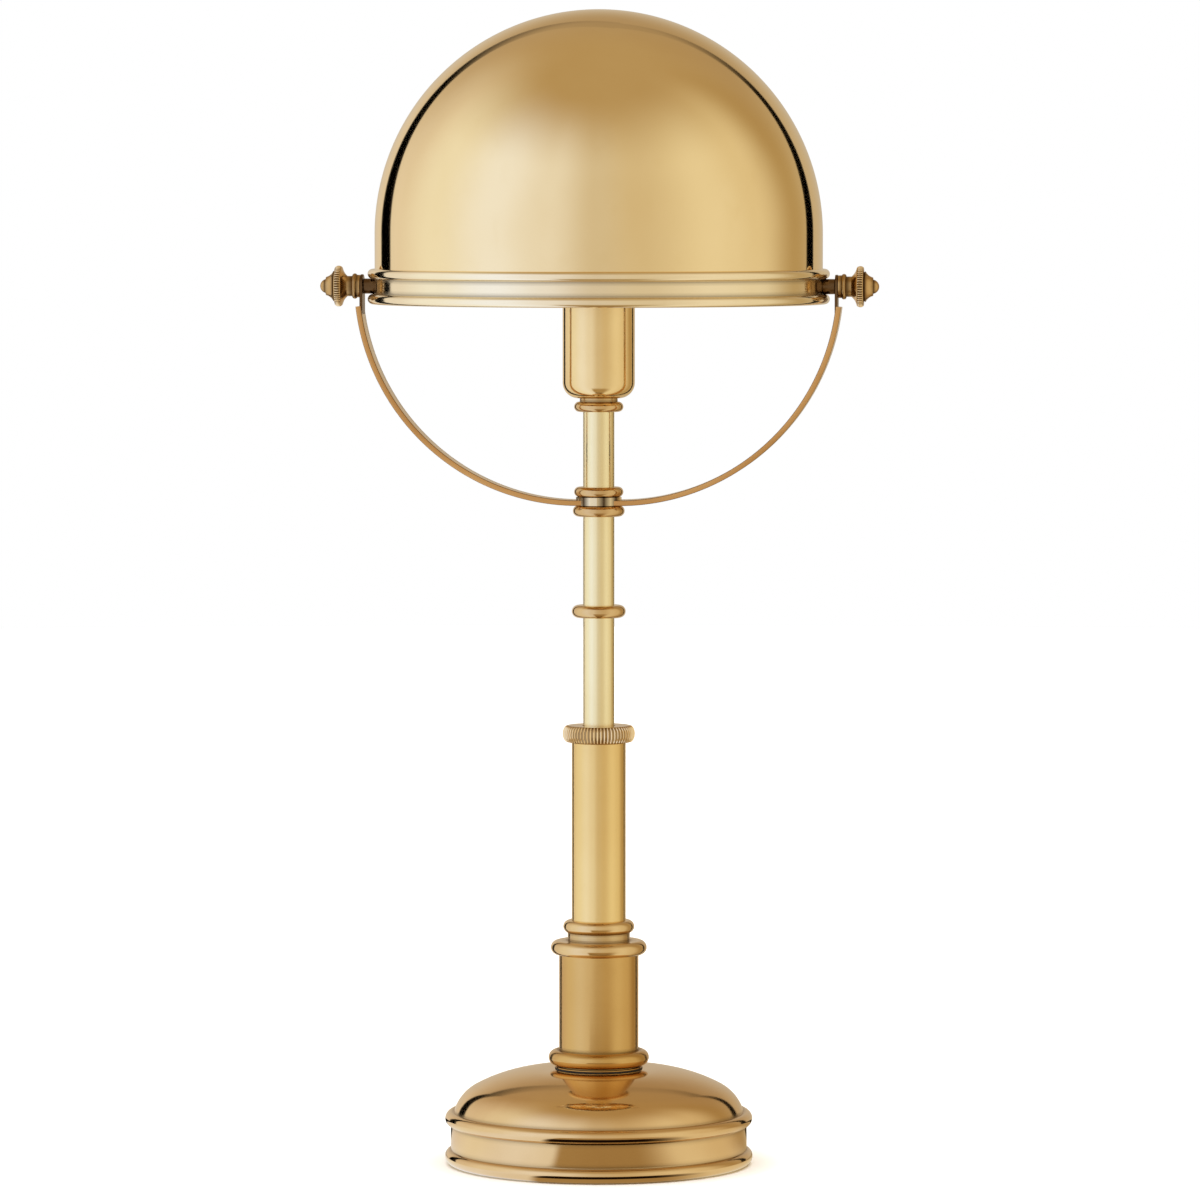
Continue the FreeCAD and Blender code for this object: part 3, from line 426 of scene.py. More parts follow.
BULB_METAL = Metal(
    "bulb_metal", (0.72, 0.70, 0.66), (0.52, 0.49, 0.44), 0.5, 0.3, 0.08, Grain.ROUND_Z, 0.06
)
STEEL = Metal(
    "zinc_steel", (0.62, 0.62, 0.60), (0.42, 0.41, 0.38),
    0.6, 0.36, 0.1, Grain.NONE, 0.08
)
IRON = Matt("cast_iron", (0.10, 0.10, 0.10), (0.045, 0.045, 0.045), 0.62, 500.0, 0.6, 0.6)
FELT = Matt("green_felt", (0.045, 0.085, 0.055), (0.02, 0.045, 0.028), 0.95, 1800.0, 0.9)
RUBBER = Matt("black_rubber", (0.03, 0.03, 0.03), (0.015, 0.015, 0.015), 0.6, 900.0, 0.2)
PLASTIC = Matt("black_plastic", (0.04, 0.04, 0.04), (0.025, 0.025, 0.025), 0.38, 700.0, 0.1)
NYLON = Matt("nylon", (0.80, 0.78, 0.70), (0.70, 0.67, 0.58), 0.42, 600.0, 0.1)
PHENOLIC = Matt("phenolic", (0.055, 0.035, 0.025), (0.03, 0.02, 0.015), 0.4, 500.0, 0.15)
FIBRE = Matt("grey_fibre", (0.20, 0.19, 0.17), (0.12, 0.115, 0.10), 0.8, 1500.0, 0.4)
BLACK_GLASS = Matt("black_glass", (0.02, 0.02, 0.022), (0.012, 0.012, 0.014), 0.15, 500.0, 0.02)
BULB_GLASS = FrostedGlass("bulb_glass", (0.90, 0.89, 0.85))

Finish = Metal | Matt | FrostedGlass


class Paint:
    """Keeps one Blender material for each finish."""

    def __init__(self) -> None:
        """Starts with no material made."""
        self.made: dict[str, bpy.types.Material] = {}

    def of(self, finish: Finish) -> bpy.types.Material:
        """Gives the material of a finish, made at its first use."""
        if finish.name not in self.made:
            self.made[finish.name] = finish.material()
        return self.made[finish.name]


PAINT = Paint()


# ---------------------------------------------------------------- turned meshes


class Section:
    """Closed half section of a turned piece, as radius and height pairs in millimetres."""

    ARC_STEP = math.radians(6.5)
    CREASE = math.radians(24)  # a flatter turn than this isn't a corner
    EASE_MOST = 0.42  # of an edge
    EASE_SHARES = (0.0, 0.33, 0.67, 1.0)

    def __init__(self, radius: float, height: float) -> None:
        """Starts the outline at a point."""
        self.points: list[Point] = [(radius, height)]

    def to(self, radius: float, height: float) -> "Section":
        """Draws a straight edge to a point."""
        self.points.append((radius, height))
        return self

    def arc(self, through: Point, end: Point, step: float = ARC_STEP) -> "Section":
        """Draws a round edge.

        Args:
            through: A point in the middle of the arc.
            end: Where the arc stops.
            step: Greatest turn from one sample to the next, in radians.

        Returns:
            The section itself.
        """
        start = self.points[-1]
        centre = circle_centre(start, through, end)
        radius = math.dist(centre, start)
        angles = [math.atan2(p[1] - centre[1], p[0] - centre[0]) for p in (start, through, end)]
        sweep = (angles[2] - angles[0]) % math.tau
        if (angles[1] - angles[0]) % math.tau > sweep:
            sweep -= math.tau
        count = max(3, math.ceil(abs(sweep) / step))
        for index in range(1, count):
            turn = angles[0] + sweep * index / count
            across, up = radius * math.cos(turn), radius * math.sin(turn)
            self.points.append((centre[0] + across, centre[1] + up))
        self.points.append(end)
        return self

    def bead(
        self, nose: float, middle: float, half: float, low_r: float, high_r: float
    ) -> "Section":
        """Draws a half-round ring that grows out of two walls.

        Args:
            nose: Greatest radius of the ring.
            middle: Height of the ring's middle.
            half: Half of its thickness.
            low_r: Radius of the wall under it.
            high_r: Radius of the wall over it.

        Returns:
            The section itself.
        """
        core = nose - half
        low = middle - math.sqrt(max(half**2 - (low_r - core) ** 2, 0.0))
        high = middle + math.sqrt(max(half**2 - (high_r - core) ** 2, 0.0))
        if math.dist(self.points[-1], (low_r, low)) > TINY:
            self.to(low_r, low)
        return self.arc((nose, middle), (high_r, high))

    def eased(self, radius: float = 0.25) -> np.ndarray:
        """The outline with every sharp corner slightly rounded.

        Args:
            radius: How far from a corner the rounding starts.

        Returns:
            Array of radius and height pairs.
        """
        points = [np.array(p, float) for p in self.points]
        if np.linalg.norm(points[0] - points[-1]) < TINY:
            points.pop()
        made: list[np.ndarray] = []
        for index, here in enumerate(points):
            back, ahead = points[index - 1] - here, points[(index + 1) % len(points)] - here
            back_l, ahead_l = np.linalg.norm(back), np.linalg.norm(ahead)
            cosine = float(back @ ahead) / (back_l * ahead_l)
            if here[0] < TINY or cosine < -math.cos(self.CREASE):
                made.append(here)
                continue
            start = here + back / back_l * min(radius, self.EASE_MOST * back_l)
            end = here + ahead / ahead_l * min(radius, self.EASE_MOST * ahead_l)
            for s in self.EASE_SHARES:
                made.append((1 - s) ** 2 * start + 2 * s * (1 - s) * here + s**2 * end)
        return subdivided(np.array(made))


def circle_centre(first: Point, second: Point, third: Point) -> Point:
    """Centre of the circle through three points."""
    (ax, ay), (bx, by), (cx, cy) = first, second, third
    scale = 2 * (ax * (by - cy) + bx * (cy - ay) + cx * (ay - by))
    a2, b2, c2 = ax * ax + ay * ay, bx * bx + by * by, cx * cx + cy * cy
    return (
        (a2 * (by - cy) + b2 * (cy - ay) + c2 * (ay - by)) / scale,
        (a2 * (cx - bx) + b2 * (ax - cx) + c2 * (bx - ax)) / scale,
    )


def bulged(start: Point, end: Point, sag: float) -> Point:
    """Point at the middle of an arc that stands out of its chord by the sag."""
    run, rise = end[0] - start[0], end[1] - start[1]
    chord = math.hypot(run, rise)
    return (
        (start[0] + end[0]) / 2 + sag * rise / chord,
        (start[1] + end[1]) / 2 - sag * run / chord,
    )


def edges_of(points: np.ndarray) -> tuple[np.ndarray, np.ndarray, np.ndarray]:
    """Edges before and after each point of a closed outline, and the turn between them."""
    back = points - np.roll(points, 1, axis=0)
    ahead = np.roll(points, -1, axis=0) - points
    cross = back[:, 0] * ahead[:, 1] - back[:, 1] * ahead[:, 0]
    return back, ahead, np.arctan2(cross, (back * ahead).sum(axis=1))


def doubled_area(points: np.ndarray) -> float:
    """Twice the area of a closed outline, above zero where it runs anticlockwise."""
    after = np.roll(points, -1, axis=0)
    return float(np.sum(points[:, 0] * after[:, 1] - points[:, 1] * after[:, 0]))


def subdivided(points: np.ndarray) -> np.ndarray:
    """Adds points near the ends of long straight edges, so painted shade and tarnish fade along
    them.

    Chords of an arc stay whole, because points on a chord would make a round wall mirror in flats.
    """
    short, most, marks_at = 1.2, 0.45, (0.4, 1.0, 2.2)
    least_turn, most_turn = math.radians(0.2), math.radians(8)
    back, ahead, turn = edges_of(points)
    growth = np.linalg.norm(ahead, axis=1) / np.linalg.norm(back, axis=1)
    bends = (np.abs(turn) > least_turn) & (np.abs(turn) < most_turn)
    in_arc = bends & (growth > 0.5) & (growth < 2.0)
    made: list[np.ndarray] = []
    for index, here in enumerate(points):
        after = (index + 1) % len(points)
        made.append(here)
        length = float(np.linalg.norm(ahead[index]))
        if length < short or (in_arc[index] and in_arc[after]):
            continue
        marks = [d for d in marks_at if d < most * length]
        places = marks + [length - d for d in reversed(marks)]
        made.extend(here + ahead[index] * place / length for place in places)
    return np.array(made)


def corner_shade_and_tarnish(points: np.ndarray, reach: float = 1.1) -> np.ndarray:
    """How deep each outline point lies in a hollow corner, from 0 to 1: its painted shade and
    tarnish.

    Args:
        points: The outline.
        reach: How far the painted shade and tarnish spread from a corner, in millimetres.

    Returns:
        One number for each point.
    """
    least_turn, full = math.radians(9), 1.2
    turn = edges_of(points)[2]
    hollow = np.clip(-turn * np.sign(doubled_area(points)), 0.0, None)
    hollow[hollow < least_turn] = 0.0
    gap = np.linalg.norm(points[:, None] - points[None], axis=2)
    weight = np.exp(-((gap / reach) ** 2))
    return np.clip((weight * hollow[None]).sum(axis=1) / full, 0.0, 1.0)


def piece_from(
    name: str,
    vertices: np.ndarray,
    faces: Sequence[Sequence[int]],
    finish: Finish,
    shade_and_tarnish: np.ndarray | None = None,
) -> bpy.types.Object:
    """Makes a smooth mesh piece at the origin.

    Args:
        name: Name of the piece.
        vertices: Points in millimetres.
        faces: Vertex numbers of each face.
        finish: What it is made of.
        shade_and_tarnish: Depth of painted shade and tarnish for each vertex.

    Returns:
        The object.
    """
    mesh = bpy.data.meshes.new(name)
    mesh.from_pydata((np.asarray(vertices) * MM).tolist(), [], [list(f) for f in faces])
    mesh.validate()
    mesh.shade_smooth()
    mesh.set_sharp_from_angle(angle=SMOOTH_LIMIT)
    layer = mesh.attributes.new(SHADE_AND_TARNISH, "FLOAT", "POINT")
    if shade_and_tarnish is not None:
        layer.data.foreach_set("value", shade_and_tarnish.astype(np.float32))
    mesh.materials.append(PAINT.of(finish))
    piece = bpy.data.objects.new(name, mesh)
    bpy.context.scene.collection.objects.link(piece)
    return piece


def spin(
    name: str,
    outline: np.ndarray,
    finish: Finish,
    segments: int = 192,
    place: Callable[[np.ndarray], np.ndarray] | None = None,
    shaded_r: float | None = None,
) -> bpy.types.Object:
    """Turns a closed half section about the Z axis.

    Args:
        name: Name of the piece.
        outline: Points of the section, radius and height in millimetres.
        finish: What it is made of.
        segments: Number of steps round the axis.
        place: Moves the turned points to where the piece sits.
        shaded_r: Everything further out than this lies between ribs and gets full painted shade
            with dirt.

    Returns:
        The object.
    """
    if doubled_area(outline) < 0:
        outline = outline[::-1]
    # Painted shade with tarnish in hollow corners, and full painted shade between ribs.
    shade_and_dirt = corner_shade_and_tarnish(outline)
    if shaded_r is not None:
        shade_and_dirt[outline[:, 0] > shaded_r] = 1.0
    turns = np.arange(segments) * math.tau / segments
    vertices: list[tuple[float, float, float]] = []
    shade_and_tarnish: list[float] = []
    rows: list[list[int]] = []
    for (radius, height), depth in zip(outline, shade_and_dirt):
        if radius < TINY:
            rows.append([len(vertices)] * segments)
            vertices.append((0.0, 0.0, height))
            shade_and_tarnish.append(depth)
            continue
        rows.append(list(range(len(vertices), len(vertices) + segments)))
        vertices.extend((radius * math.cos(t), radius * math.sin(t), height) for t in turns)
        shade_and_tarnish.extend([depth] * segments)
    faces: list[tuple[int, ...]] = []
    for index, row in enumerate(rows):
        after = rows[(index + 1) % len(rows)]
        for step in range(segments):
            near = (step + 1) % segments
            ring = (row[step], row[near], after[near], after[step])
            corners = tuple(dict.fromkeys(ring))
            if len(corners) > 2:
                faces.append(corners)
    points = np.array(vertices)
    if place is not None:
        points = place(points)
    return piece_from(name, points, faces, finish, np.array(shade_and_tarnish))


def laid(side: Side, start: float, height: float) -> Callable[[np.ndarray], np.ndarray]:
    """Lays a turned piece along the pivot axis.

    Args:
        side: End of the axis.
        start: |x| of the piece's own zero.
        height: Height of the axis.

    Returns:
        A function that moves the turned points.
    """

    def move(points: np.ndarray) -> np.ndarray:
        sign = side.value
        return np.stack(
            [sign * (points[:, 2] + start), sign * points[:, 1], height - points[:, 0]], axis=1
        )

    return move


# ---------------------------------------------------------------- geometry nodes


class Growth(Nodes):
    """A geometry node tree with named inputs that ends in Realize Instances and Set Material."""

    def __init__(self, name: str) -> None:
        """Makes the tree with its output."""
        super().__init__(bpy.data.node_groups.new(name, "GeometryNodeTree"))
        self.socket("Geometry", "Geometry", "OUTPUT")
        self.entry = self.tree.nodes.new("NodeGroupInput")

    def socket(self, name: str, kind: str, way: str = "INPUT") -> None:
        """Adds a named input or output of a kind such as Float or Int."""
        self.tree.interface.new_socket(name, in_out=way, socket_type="NodeSocket" + kind)

    def inputs(self, *names: str, kind: str = "Float") -> list[bpy.types.NodeSocket]:
        """Adds named inputs of one kind and gives the sockets that carry them."""
        for name in names:
            self.socket(name, kind)
        return [self.entry.outputs[name] for name in names]

    def close(self, geometry: bpy.types.NodeSocket) -> None:
        """Ends the tree: instances made real, shaded smooth and given their material."""
        (finish,) = self.inputs("Finish", kind="Material")
        real = self.add("GeometryNodeRealizeInstances", {0: geometry})
        smooth = self.add("GeometryNodeSetShadeSmooth", {0: real.outputs[0]})
        wires = {"Geometry": smooth.outputs[0], "Material": finish}
        paint = self.add("GeometryNodeSetMaterial", wires)
        self.add("NodeGroupOutput", {0: paint.outputs[0]})

    def grow(self, name: str, values: dict[str, object], finish: Finish) -> bpy.types.Object:
        """Runs the tree once and keeps the result as a plain mesh.

        Args:
            name: Name of the piece.
            values: Value of each named input, lengths in metres.
            finish: Material for the input Finish.

        Returns:
            The object, with no modifier on it.
        """
        seed = bpy.data.objects.new(name, bpy.data.meshes.new(name + "_seed"))
        bpy.context.scene.collection.objects.link(seed)
        modifier = seed.modifiers.new("growth", "NODES")
        modifier.node_group = self.tree
        given = dict(values)
        given["Finish"] = PAINT.of(finish)
        for item in self.tree.interface.items_tree:
            if item.in_out == "INPUT":
                modifier[item.identifier] = given[item.name]
        graph = bpy.context.evaluated_depsgraph_get()
        graph.update()
        mesh = bpy.data.meshes.new_from_object(seed.evaluated_get(graph), depsgraph=graph)
        seed.modifiers.clear()
        mesh.name = name
        seed.data = mesh
        if not mesh.materials:
            mesh.materials.append(PAINT.of(finish))
        mesh.set_sharp_from_angle(angle=SMOOTH_LIMIT)
        return seed


def knurl_tree() -> Growth:
    """Tree of long rounded ribs that stand round the Z axis and bulge outwards in the middle."""
    growth = Growth("knurl_ribs")
    (count,) = growth.inputs("Count", kind="Int")
    tip, bulge, rib, low, high = growth.inputs("Tip radius", "Bulge", "Rib radius", "Low", "High")
    belt = {"Vertices": count, "Radius": growth.math("SUBTRACT", tip, bulge)}
    circle = growth.add("GeometryNodeMeshCircle", belt)
    ball = growth.add("GeometryNodeMeshUVSphere", {"Segments": 12, "Rings": 8, "Radius": 1.0})
    half = growth.math("MULTIPLY", growth.math("SUBTRACT", high, low), 0.5)
    stretch = growth.add("ShaderNodeCombineXYZ", {"X": bulge, "Y": rib, "Z": half})
    middle = growth.math("MULTIPLY", growth.math("ADD", high, low), 0.5)
    lift = growth.add("ShaderNodeCombineXYZ", {"Z": middle})
    shape = {
        "Geometry": ball.outputs["Mesh"],
        "Scale": stretch.outputs[0],
        "Translation": lift.outputs[0],
    }
    shaped = growth.add("GeometryNodeTransform", shape)
    spot = growth.add("GeometryNodeInputPosition").outputs[0]
    outward = growth.add(
        "FunctionNodeAlignRotationToVector", {"Vector": spot}, axis="X", pivot_axis="Z"
    )
    spread = {
        "Points": circle.outputs["Mesh"],
        "Instance": shaped.outputs[0],
        "Rotation": outward.outputs[0],
    }
    growth.close(growth.add("GeometryNodeInstanceOnPoints", spread).outputs[0])
    return growth


def bow_tree() -> Growth:
    """Tree of the flat bow: a level stretch that turns up at both ends on one radius."""
    growth = Growth("bow_strap")
    flat, radius, length, width, thick, corner, lift = growth.inputs(
        "Flat half", "Radius", "Half length", "Width", "Thickness", "Corner", "Lift"
    )
    (steps,) = growth.inputs("Steps", kind="Int")
    line = growth.add("GeometryNodeMeshLine", {"Count": steps})
    last = growth.math("SUBTRACT", steps, 1.0)
    share = growth.math("DIVIDE", growth.add("GeometryNodeInputIndex").outputs[0], last)
    along = growth.math("MULTIPLY", growth.math("MULTIPLY_ADD", share, 2.0, -1.0), length)
    away = growth.math("ABSOLUTE", along)
    turn = growth.math("MAXIMUM", growth.math("SUBTRACT", away, flat), 0.0)
    turn = growth.math("DIVIDE", turn, radius)
    level = growth.math("MINIMUM", away, flat)
    reach = growth.math("MULTIPLY_ADD", growth.math("SINE", turn), radius, level)
    side = growth.math("MULTIPLY", growth.math("SIGN", along), reach)
    rise = growth.math("SUBTRACT", 1.0, growth.math("COSINE", turn))
    rise = growth.math("MULTIPLY", rise, radius)
    spot = growth.add("ShaderNodeCombineXYZ", {"X": side, "Z": growth.math("ADD", rise, lift)})
    bend = {"Geometry": line.outputs[0], "Position": spot.outputs[0]}
    bent = growth.add("GeometryNodeSetPosition", bend)
    path = growth.add("GeometryNodeMeshToCurve", {0: bent.outputs[0]})
    size = {"Width": width, "Height": thick}
    plate = growth.add("GeometryNodeCurvePrimitiveQuadrilateral", size, mode="RECTANGLE")
    ease = {"Curve": plate.outputs[0], "Radius": corner, "Count": 3}
    eased = growth.add("GeometryNodeFilletCurve", ease, mode="POLY")
    sweep = {"Curve": path.outputs[0], "Profile Curve": eased.outputs[0], "Fill Caps": True}
    growth.close(growth.add("GeometryNodeCurveToMesh", sweep).outputs[0])
    return growth


def grow_ribs(
    knurl: Growth, name: str, count: int, tip_r: float, bulge: float, rib_r: float, span: Point
) -> bpy.types.Object:
    """Grows a belt of ribs round the Z axis.

    Args:
        knurl: The tree that makes ribs.
        name: Name of the piece.
        count: How many ribs.
        tip_r: Radius over the ribs.
        bulge: How far the ribs' middles stand out of their ends.
        rib_r: Half of a rib's width.
        span: Lowest and highest point of the ribs.

    Returns:
        The ribs.
    """
    lengths = (tip_r, bulge, rib_r, *span)
    names = ("Tip radius", "Bulge", "Rib radius", "Low", "High")
    sizes = {"Count": count} | {key: length * MM for key, length in zip(names, lengths)}
    return knurl.grow(name, sizes, RIB_BRASS)


# ---------------------------------------------------------------- sub-assemblies


@dataclass
class Assembly:
    """A group of pieces on one body of the frame."""

    body: str

    def seat(self, piece: bpy.types.Object, slot: str, *nodes: str) -> bpy.types.Object:
        """Puts a finished piece on the assembly's body.

        Args:
            piece: The piece, in place.
            slot: Not used.
            *nodes: CAD nodes that the piece stands for.

        Returns:
            The piece.
        """
        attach(piece, self.body)
        if nodes:
            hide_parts(*nodes)
        LOG.info("%s rides on %s, %d faces", piece.name, self.body, len(piece.data.polygons))
        return piece


@dataclass
class Foot(Assembly):
    """Spun foot: two beads, a plain band between them and a low crown."""

    body: str = "stand"
    band_r: float = 71.3
    wall: float = 1.4
    low_bead: Bead = (74.15, 3.75, 3.35)
    high_bead: Bead = (74.0, 22.05, 3.35)
    crown_r: float = 69.8
    crown_z: float = 25.29
    shoulder: Point = (59.9, 37.35)
    shoulder_sag: float = 1.56
    seat_r: float = 22.5
    seat_z: float = 46.1
    crown_sag: float = 2.5
    hole_r: float = 5.3
    gasket_r: float = 21.1
    gasket_t: float = 0.5

    def shell(self) -> bpy.types.Object:
        """The brass shell with its wall."""
        foot, seat = (self.crown_r, self.crown_z), (self.seat_r, self.seat_z)
        inner = self.band_r - self.wall
        low_core = self.low_bead[0] - self.low_bead[2]
        section = Section(inner, self.low_bead[1] - self.low_bead[2])
        section.to(low_core, self.low_bead[1] - self.low_bead[2])
        section.bead(*self.low_bead, low_core, self.band_r)
        section.bead(*self.high_bead, self.band_r, self.crown_r)
        shoulder_mid = bulged(foot, self.shoulder, self.shoulder_sag)
        crown_mid = bulged(self.shoulder, seat, self.crown_sag)
        section.arc(shoulder_mid, self.shoulder, FINE_STEP).arc(crown_mid, seat, FINE_STEP)
        section.to(self.hole_r, self.seat_z).to(self.hole_r, self.seat_z - self.wall)
        section.to(self.seat_r, self.seat_z - self.wall)
        slant = self.wall * HALF_ROOT
        under = (self.shoulder[0] - slant, self.shoulder[1] - slant)
        under_seat = (self.seat_r, self.seat_z - self.wall)
        rim = (inner, self.high_bead[1])
        section.arc(bulged(under_seat, under, -self.crown_sag), under)
        section.arc(bulged(under, rim, -self.shoulder_sag), rim)
        return spin("foot_shell", section.eased(), BASE_BRASS, 256)

    def gasket(self) -> bpy.types.Object:
        """Thin black ring under the pedestal."""
        top = self.seat_z + self.gasket_t
        section = Section(self.hole_r, self.seat_z).to(self.gasket_r, self.seat_z)
        section.to(self.gasket_r, top).to(self.hole_r, top)
        return spin("foot_gasket", section.eased(0.1), RUBBER)

    def build(self) -> None:
        """Builds and seats the foot's visible pieces."""
        self.seat(self.shell(), "brass_base", "base_shell")
        self.seat(self.gasket(), "black_rubber", "pedestal_gasket")


@dataclass
class Pedestal(Assembly):
    """Sleeve and reducer that carry the column."""

    body: str = "stand"
    foot_z: float = 46.6
    foot_r: float = 20.9
    foot_t: float = 0.5
    sleeve_r: float = 19.15
    sleeve_top: float = 101.2
    bore_r: float = 17.4
    low_bead: Bead = (24.2, 51.4, 3.7)
    big_bead: Bead = (23.1, 104.6, 3.4)
    neck_r: float = 15.0
    small_bead: Bead = (17.1, 114.7, 3.1)
    column_r: float = 13.05

    def sleeve(self) -> bpy.types.Object:
        """Turned sleeve with the ring near its foot."""
        ledge = self.foot_z + self.foot_t
        section = Section(self.bore_r, self.foot_z).to(self.foot_r, self.foot_z)
        section.to(self.foot_r, ledge).to(self.sleeve_r, ledge)
        section.bead(*self.low_bead, self.sleeve_r, self.sleeve_r)
        section.to(self.sleeve_r, self.sleeve_top).to(self.bore_r, self.sleeve_top)
        return spin("pedestal_sleeve_turned", section.eased(0.2), PEDESTAL_BRASS)

    def reducer(self) -> bpy.types.Object:
        """Large ring, short neck and small ring."""
        core = self.big_bead[0] - self.big_bead[2]
        small_core = self.small_bead[0] - self.small_bead[2]
        section = Section(self.column_r, self.sleeve_top).to(core, self.sleeve_top)
        section.bead(*self.big_bead, core, core)
        section.to(self.neck_r, self.big_bead[1] + self.big_bead[2])
        section.bead(*self.small_bead, self.neck_r, small_core)
        section.to(self.column_r, self.small_bead[1] + self.small_bead[2])
        return spin("pedestal_reducer_turned", section.eased(0.2), RING_BRASS)

    def build(self) -> None:
        """Builds and seats the pedestal."""
        self.seat(self.sleeve(), "brass_base", "pedestal_sleeve")
        self.seat(self.reducer(), "brass_aged", "pedestal_reducer")


@dataclass
class Column(Assembly):
    """Fixed outer tube."""

    body: str = "stand"
    outer_r: float = 13.0
    bore_r: float = 11.5
    foot_z: float = 50.3
    top_z: float = 203.4

    def build(self) -> None:
        """Builds and seats the tube."""
        section = Section(self.bore_r, self.foot_z).to(self.outer_r, self.foot_z)
        section.to(self.outer_r, self.top_z).to(self.bore_r, self.top_z)
        tube = spin("column_tube_turned", section.eased(0.2), COLUMN_BRASS)
        self.seat(tube, "brass_column", "column_tube")


@dataclass
class ClampNut(Assembly):
    """Knurled ring nut on top of the column."""

    body: str = "clamp_nut"
    foot_z: float = 203.7
    top_z: float = 211.7
    outer_r: float = 17.4
    thread_r: float = 11.95
    hole_r: float = 7.9
    ceiling_z: float = 209.5
    bulge: float = 2.3
    rib_depth: float = 0.5
    rib_r: float = 0.72
    ribs: int = 62

    def core(self) -> bpy.types.Object:
        """The turned nut: a round-sided ring, sunk by the depth of its ribs."""
        flat = self.outer_r - self.bulge
        root = self.outer_r - self.rib_depth
        middle = (self.foot_z + self.top_z) / 2
        section = Section(self.thread_r, self.foot_z).to(flat, self.foot_z)
        section.arc((root, middle), (flat, self.top_z))
        section.to(self.hole_r, self.top_z).to(self.hole_r, self.ceiling_z)
        section.to(self.thread_r, self.ceiling_z)
        # The belt under the ribs gets full painted shade with dirt.
        return spin("clamp_nut_turned", section.eased(0.12), RING_BRASS, shaded_r=flat)

    def build(self, knurl: Growth) -> None:
        """Builds and seats the nut and its ribs.

        Args:
            knurl: The tree that makes ribs.
        """
        self.seat(self.core(), "brass_aged", "clamp_nut")
        span = (self.foot_z, self.top_z)
        ribs = grow_ribs(
            knurl, "clamp_nut_knurl", self.ribs, self.outer_r, self.bulge, self.rib_r, span
        )
        self.seat(ribs, "brass_aged", "clamp_nut")


@dataclass
class Stem(Assembly):
    """Sliding tube with its rings and the lampholder's cup."""

    body: str = "stem"
    outer_r: float = 7.5
    bore_r: float = 6.2
    foot_z: float = 121.0
    top_z: float = 365.6
    stop_ring: Bead = (12.9, 266.6, 3.0)
    low_collar: Bead = (12.4, 314.85, 2.65)
    high_collar: Bead = (11.8, 324.0, 2.4)
    cup_ring: Bead = (11.8, 364.8, 2.4)
    neck_r: float = 9.1
    nipple_r: float = 5.05
    cup_foot: float = 368.9
    cup_top: float = 424.0
    cup_r: float = 17.3
    cup_wall: float = 0.9
    cup_corner: float = 7.5

    def loose_ring(self, name: str, bead: Bead) -> bpy.types.Object:
        """A half-round ring on the stem.

        Args:
            name: Name of the piece.
            bead: Nose radius, middle height and half thickness.

        Returns:
            The ring.
        """
        nose, middle, half = bead
        section = Section(self.outer_r, middle - half).to(nose - half, middle - half)
        section.bead(nose, middle, half, nose - half, nose - half)
        section.to(self.outer_r, middle + half)
        return spin(name, section.eased(0.15), RING_BRASS, 160)

    def ring_under_cup(self) -> bpy.types.Object:
        """The ring and neck that screw under the cup."""
        nose, middle, half = self.cup_ring
        section = Section(self.outer_r, middle - half).to(nose - half, middle - half)
        section.bead(nose, middle, half, nose - half, nose - half)
        section.to(self.neck_r, middle + half).to(self.neck_r, self.cup_foot)
        section.to(self.nipple_r, self.cup_foot).to(self.nipple_r, self.top_z)
        section.to(self.outer_r, self.top_z)
        return spin("cup_ring_turned", section.eased(0.15), RING_BRASS, 160)

    def cup(self) -> bpy.types.Object:
        """The deep cup round the lampholder."""
        turn_r, turn_z = self.cup_r - self.cup_corner, self.cup_foot + self.cup_corner
        inner = self.cup_corner - self.cup_wall
        reach, near = self.cup_corner * HALF_ROOT, inner * HALF_ROOT
        section = Section(self.nipple_r, self.cup_foot).to(turn_r, self.cup_foot)
        section.arc((turn_r + reach, turn_z - reach), (self.cup_r, turn_z))
        section.to(self.cup_r, self.cup_top).to(self.cup_r - self.cup_wall, self.cup_top)
        section.to(self.cup_r - self.cup_wall, turn_z)
        section.arc((turn_r + near, turn_z - near), (turn_r, self.cup_foot + self.cup_wall))
        section.to(self.nipple_r, self.cup_foot + self.cup_wall)
        return spin("socket_cup_drawn", section.eased(0.2), CUP_BRASS)

    def tube(self) -> bpy.types.Object:
        """The stem tube."""
        section = Section(self.bore_r, self.foot_z).to(self.outer_r, self.foot_z)
        section.to(self.outer_r, self.top_z).to(self.bore_r, self.top_z)
        return spin("stem_tube_turned", section.eased(0.2), STEM_BRASS, 160)

    def build(self) -> None:
        """Builds and seats the stem's pieces."""
        self.seat(self.tube(), "brass_stem", "stem_tube")
        rings = (self.stop_ring, self.low_collar, self.high_collar)
        for node, bead in zip(("stop_ring", "lower_collar", "upper_collar"), rings):
            self.seat(self.loose_ring(f"{node}_turned", bead), "brass_aged", node)
        self.seat(self.ring_under_cup(), "brass_aged", "cup_ring")
        self.seat(self.cup(), "brass_stem", "socket_cup")


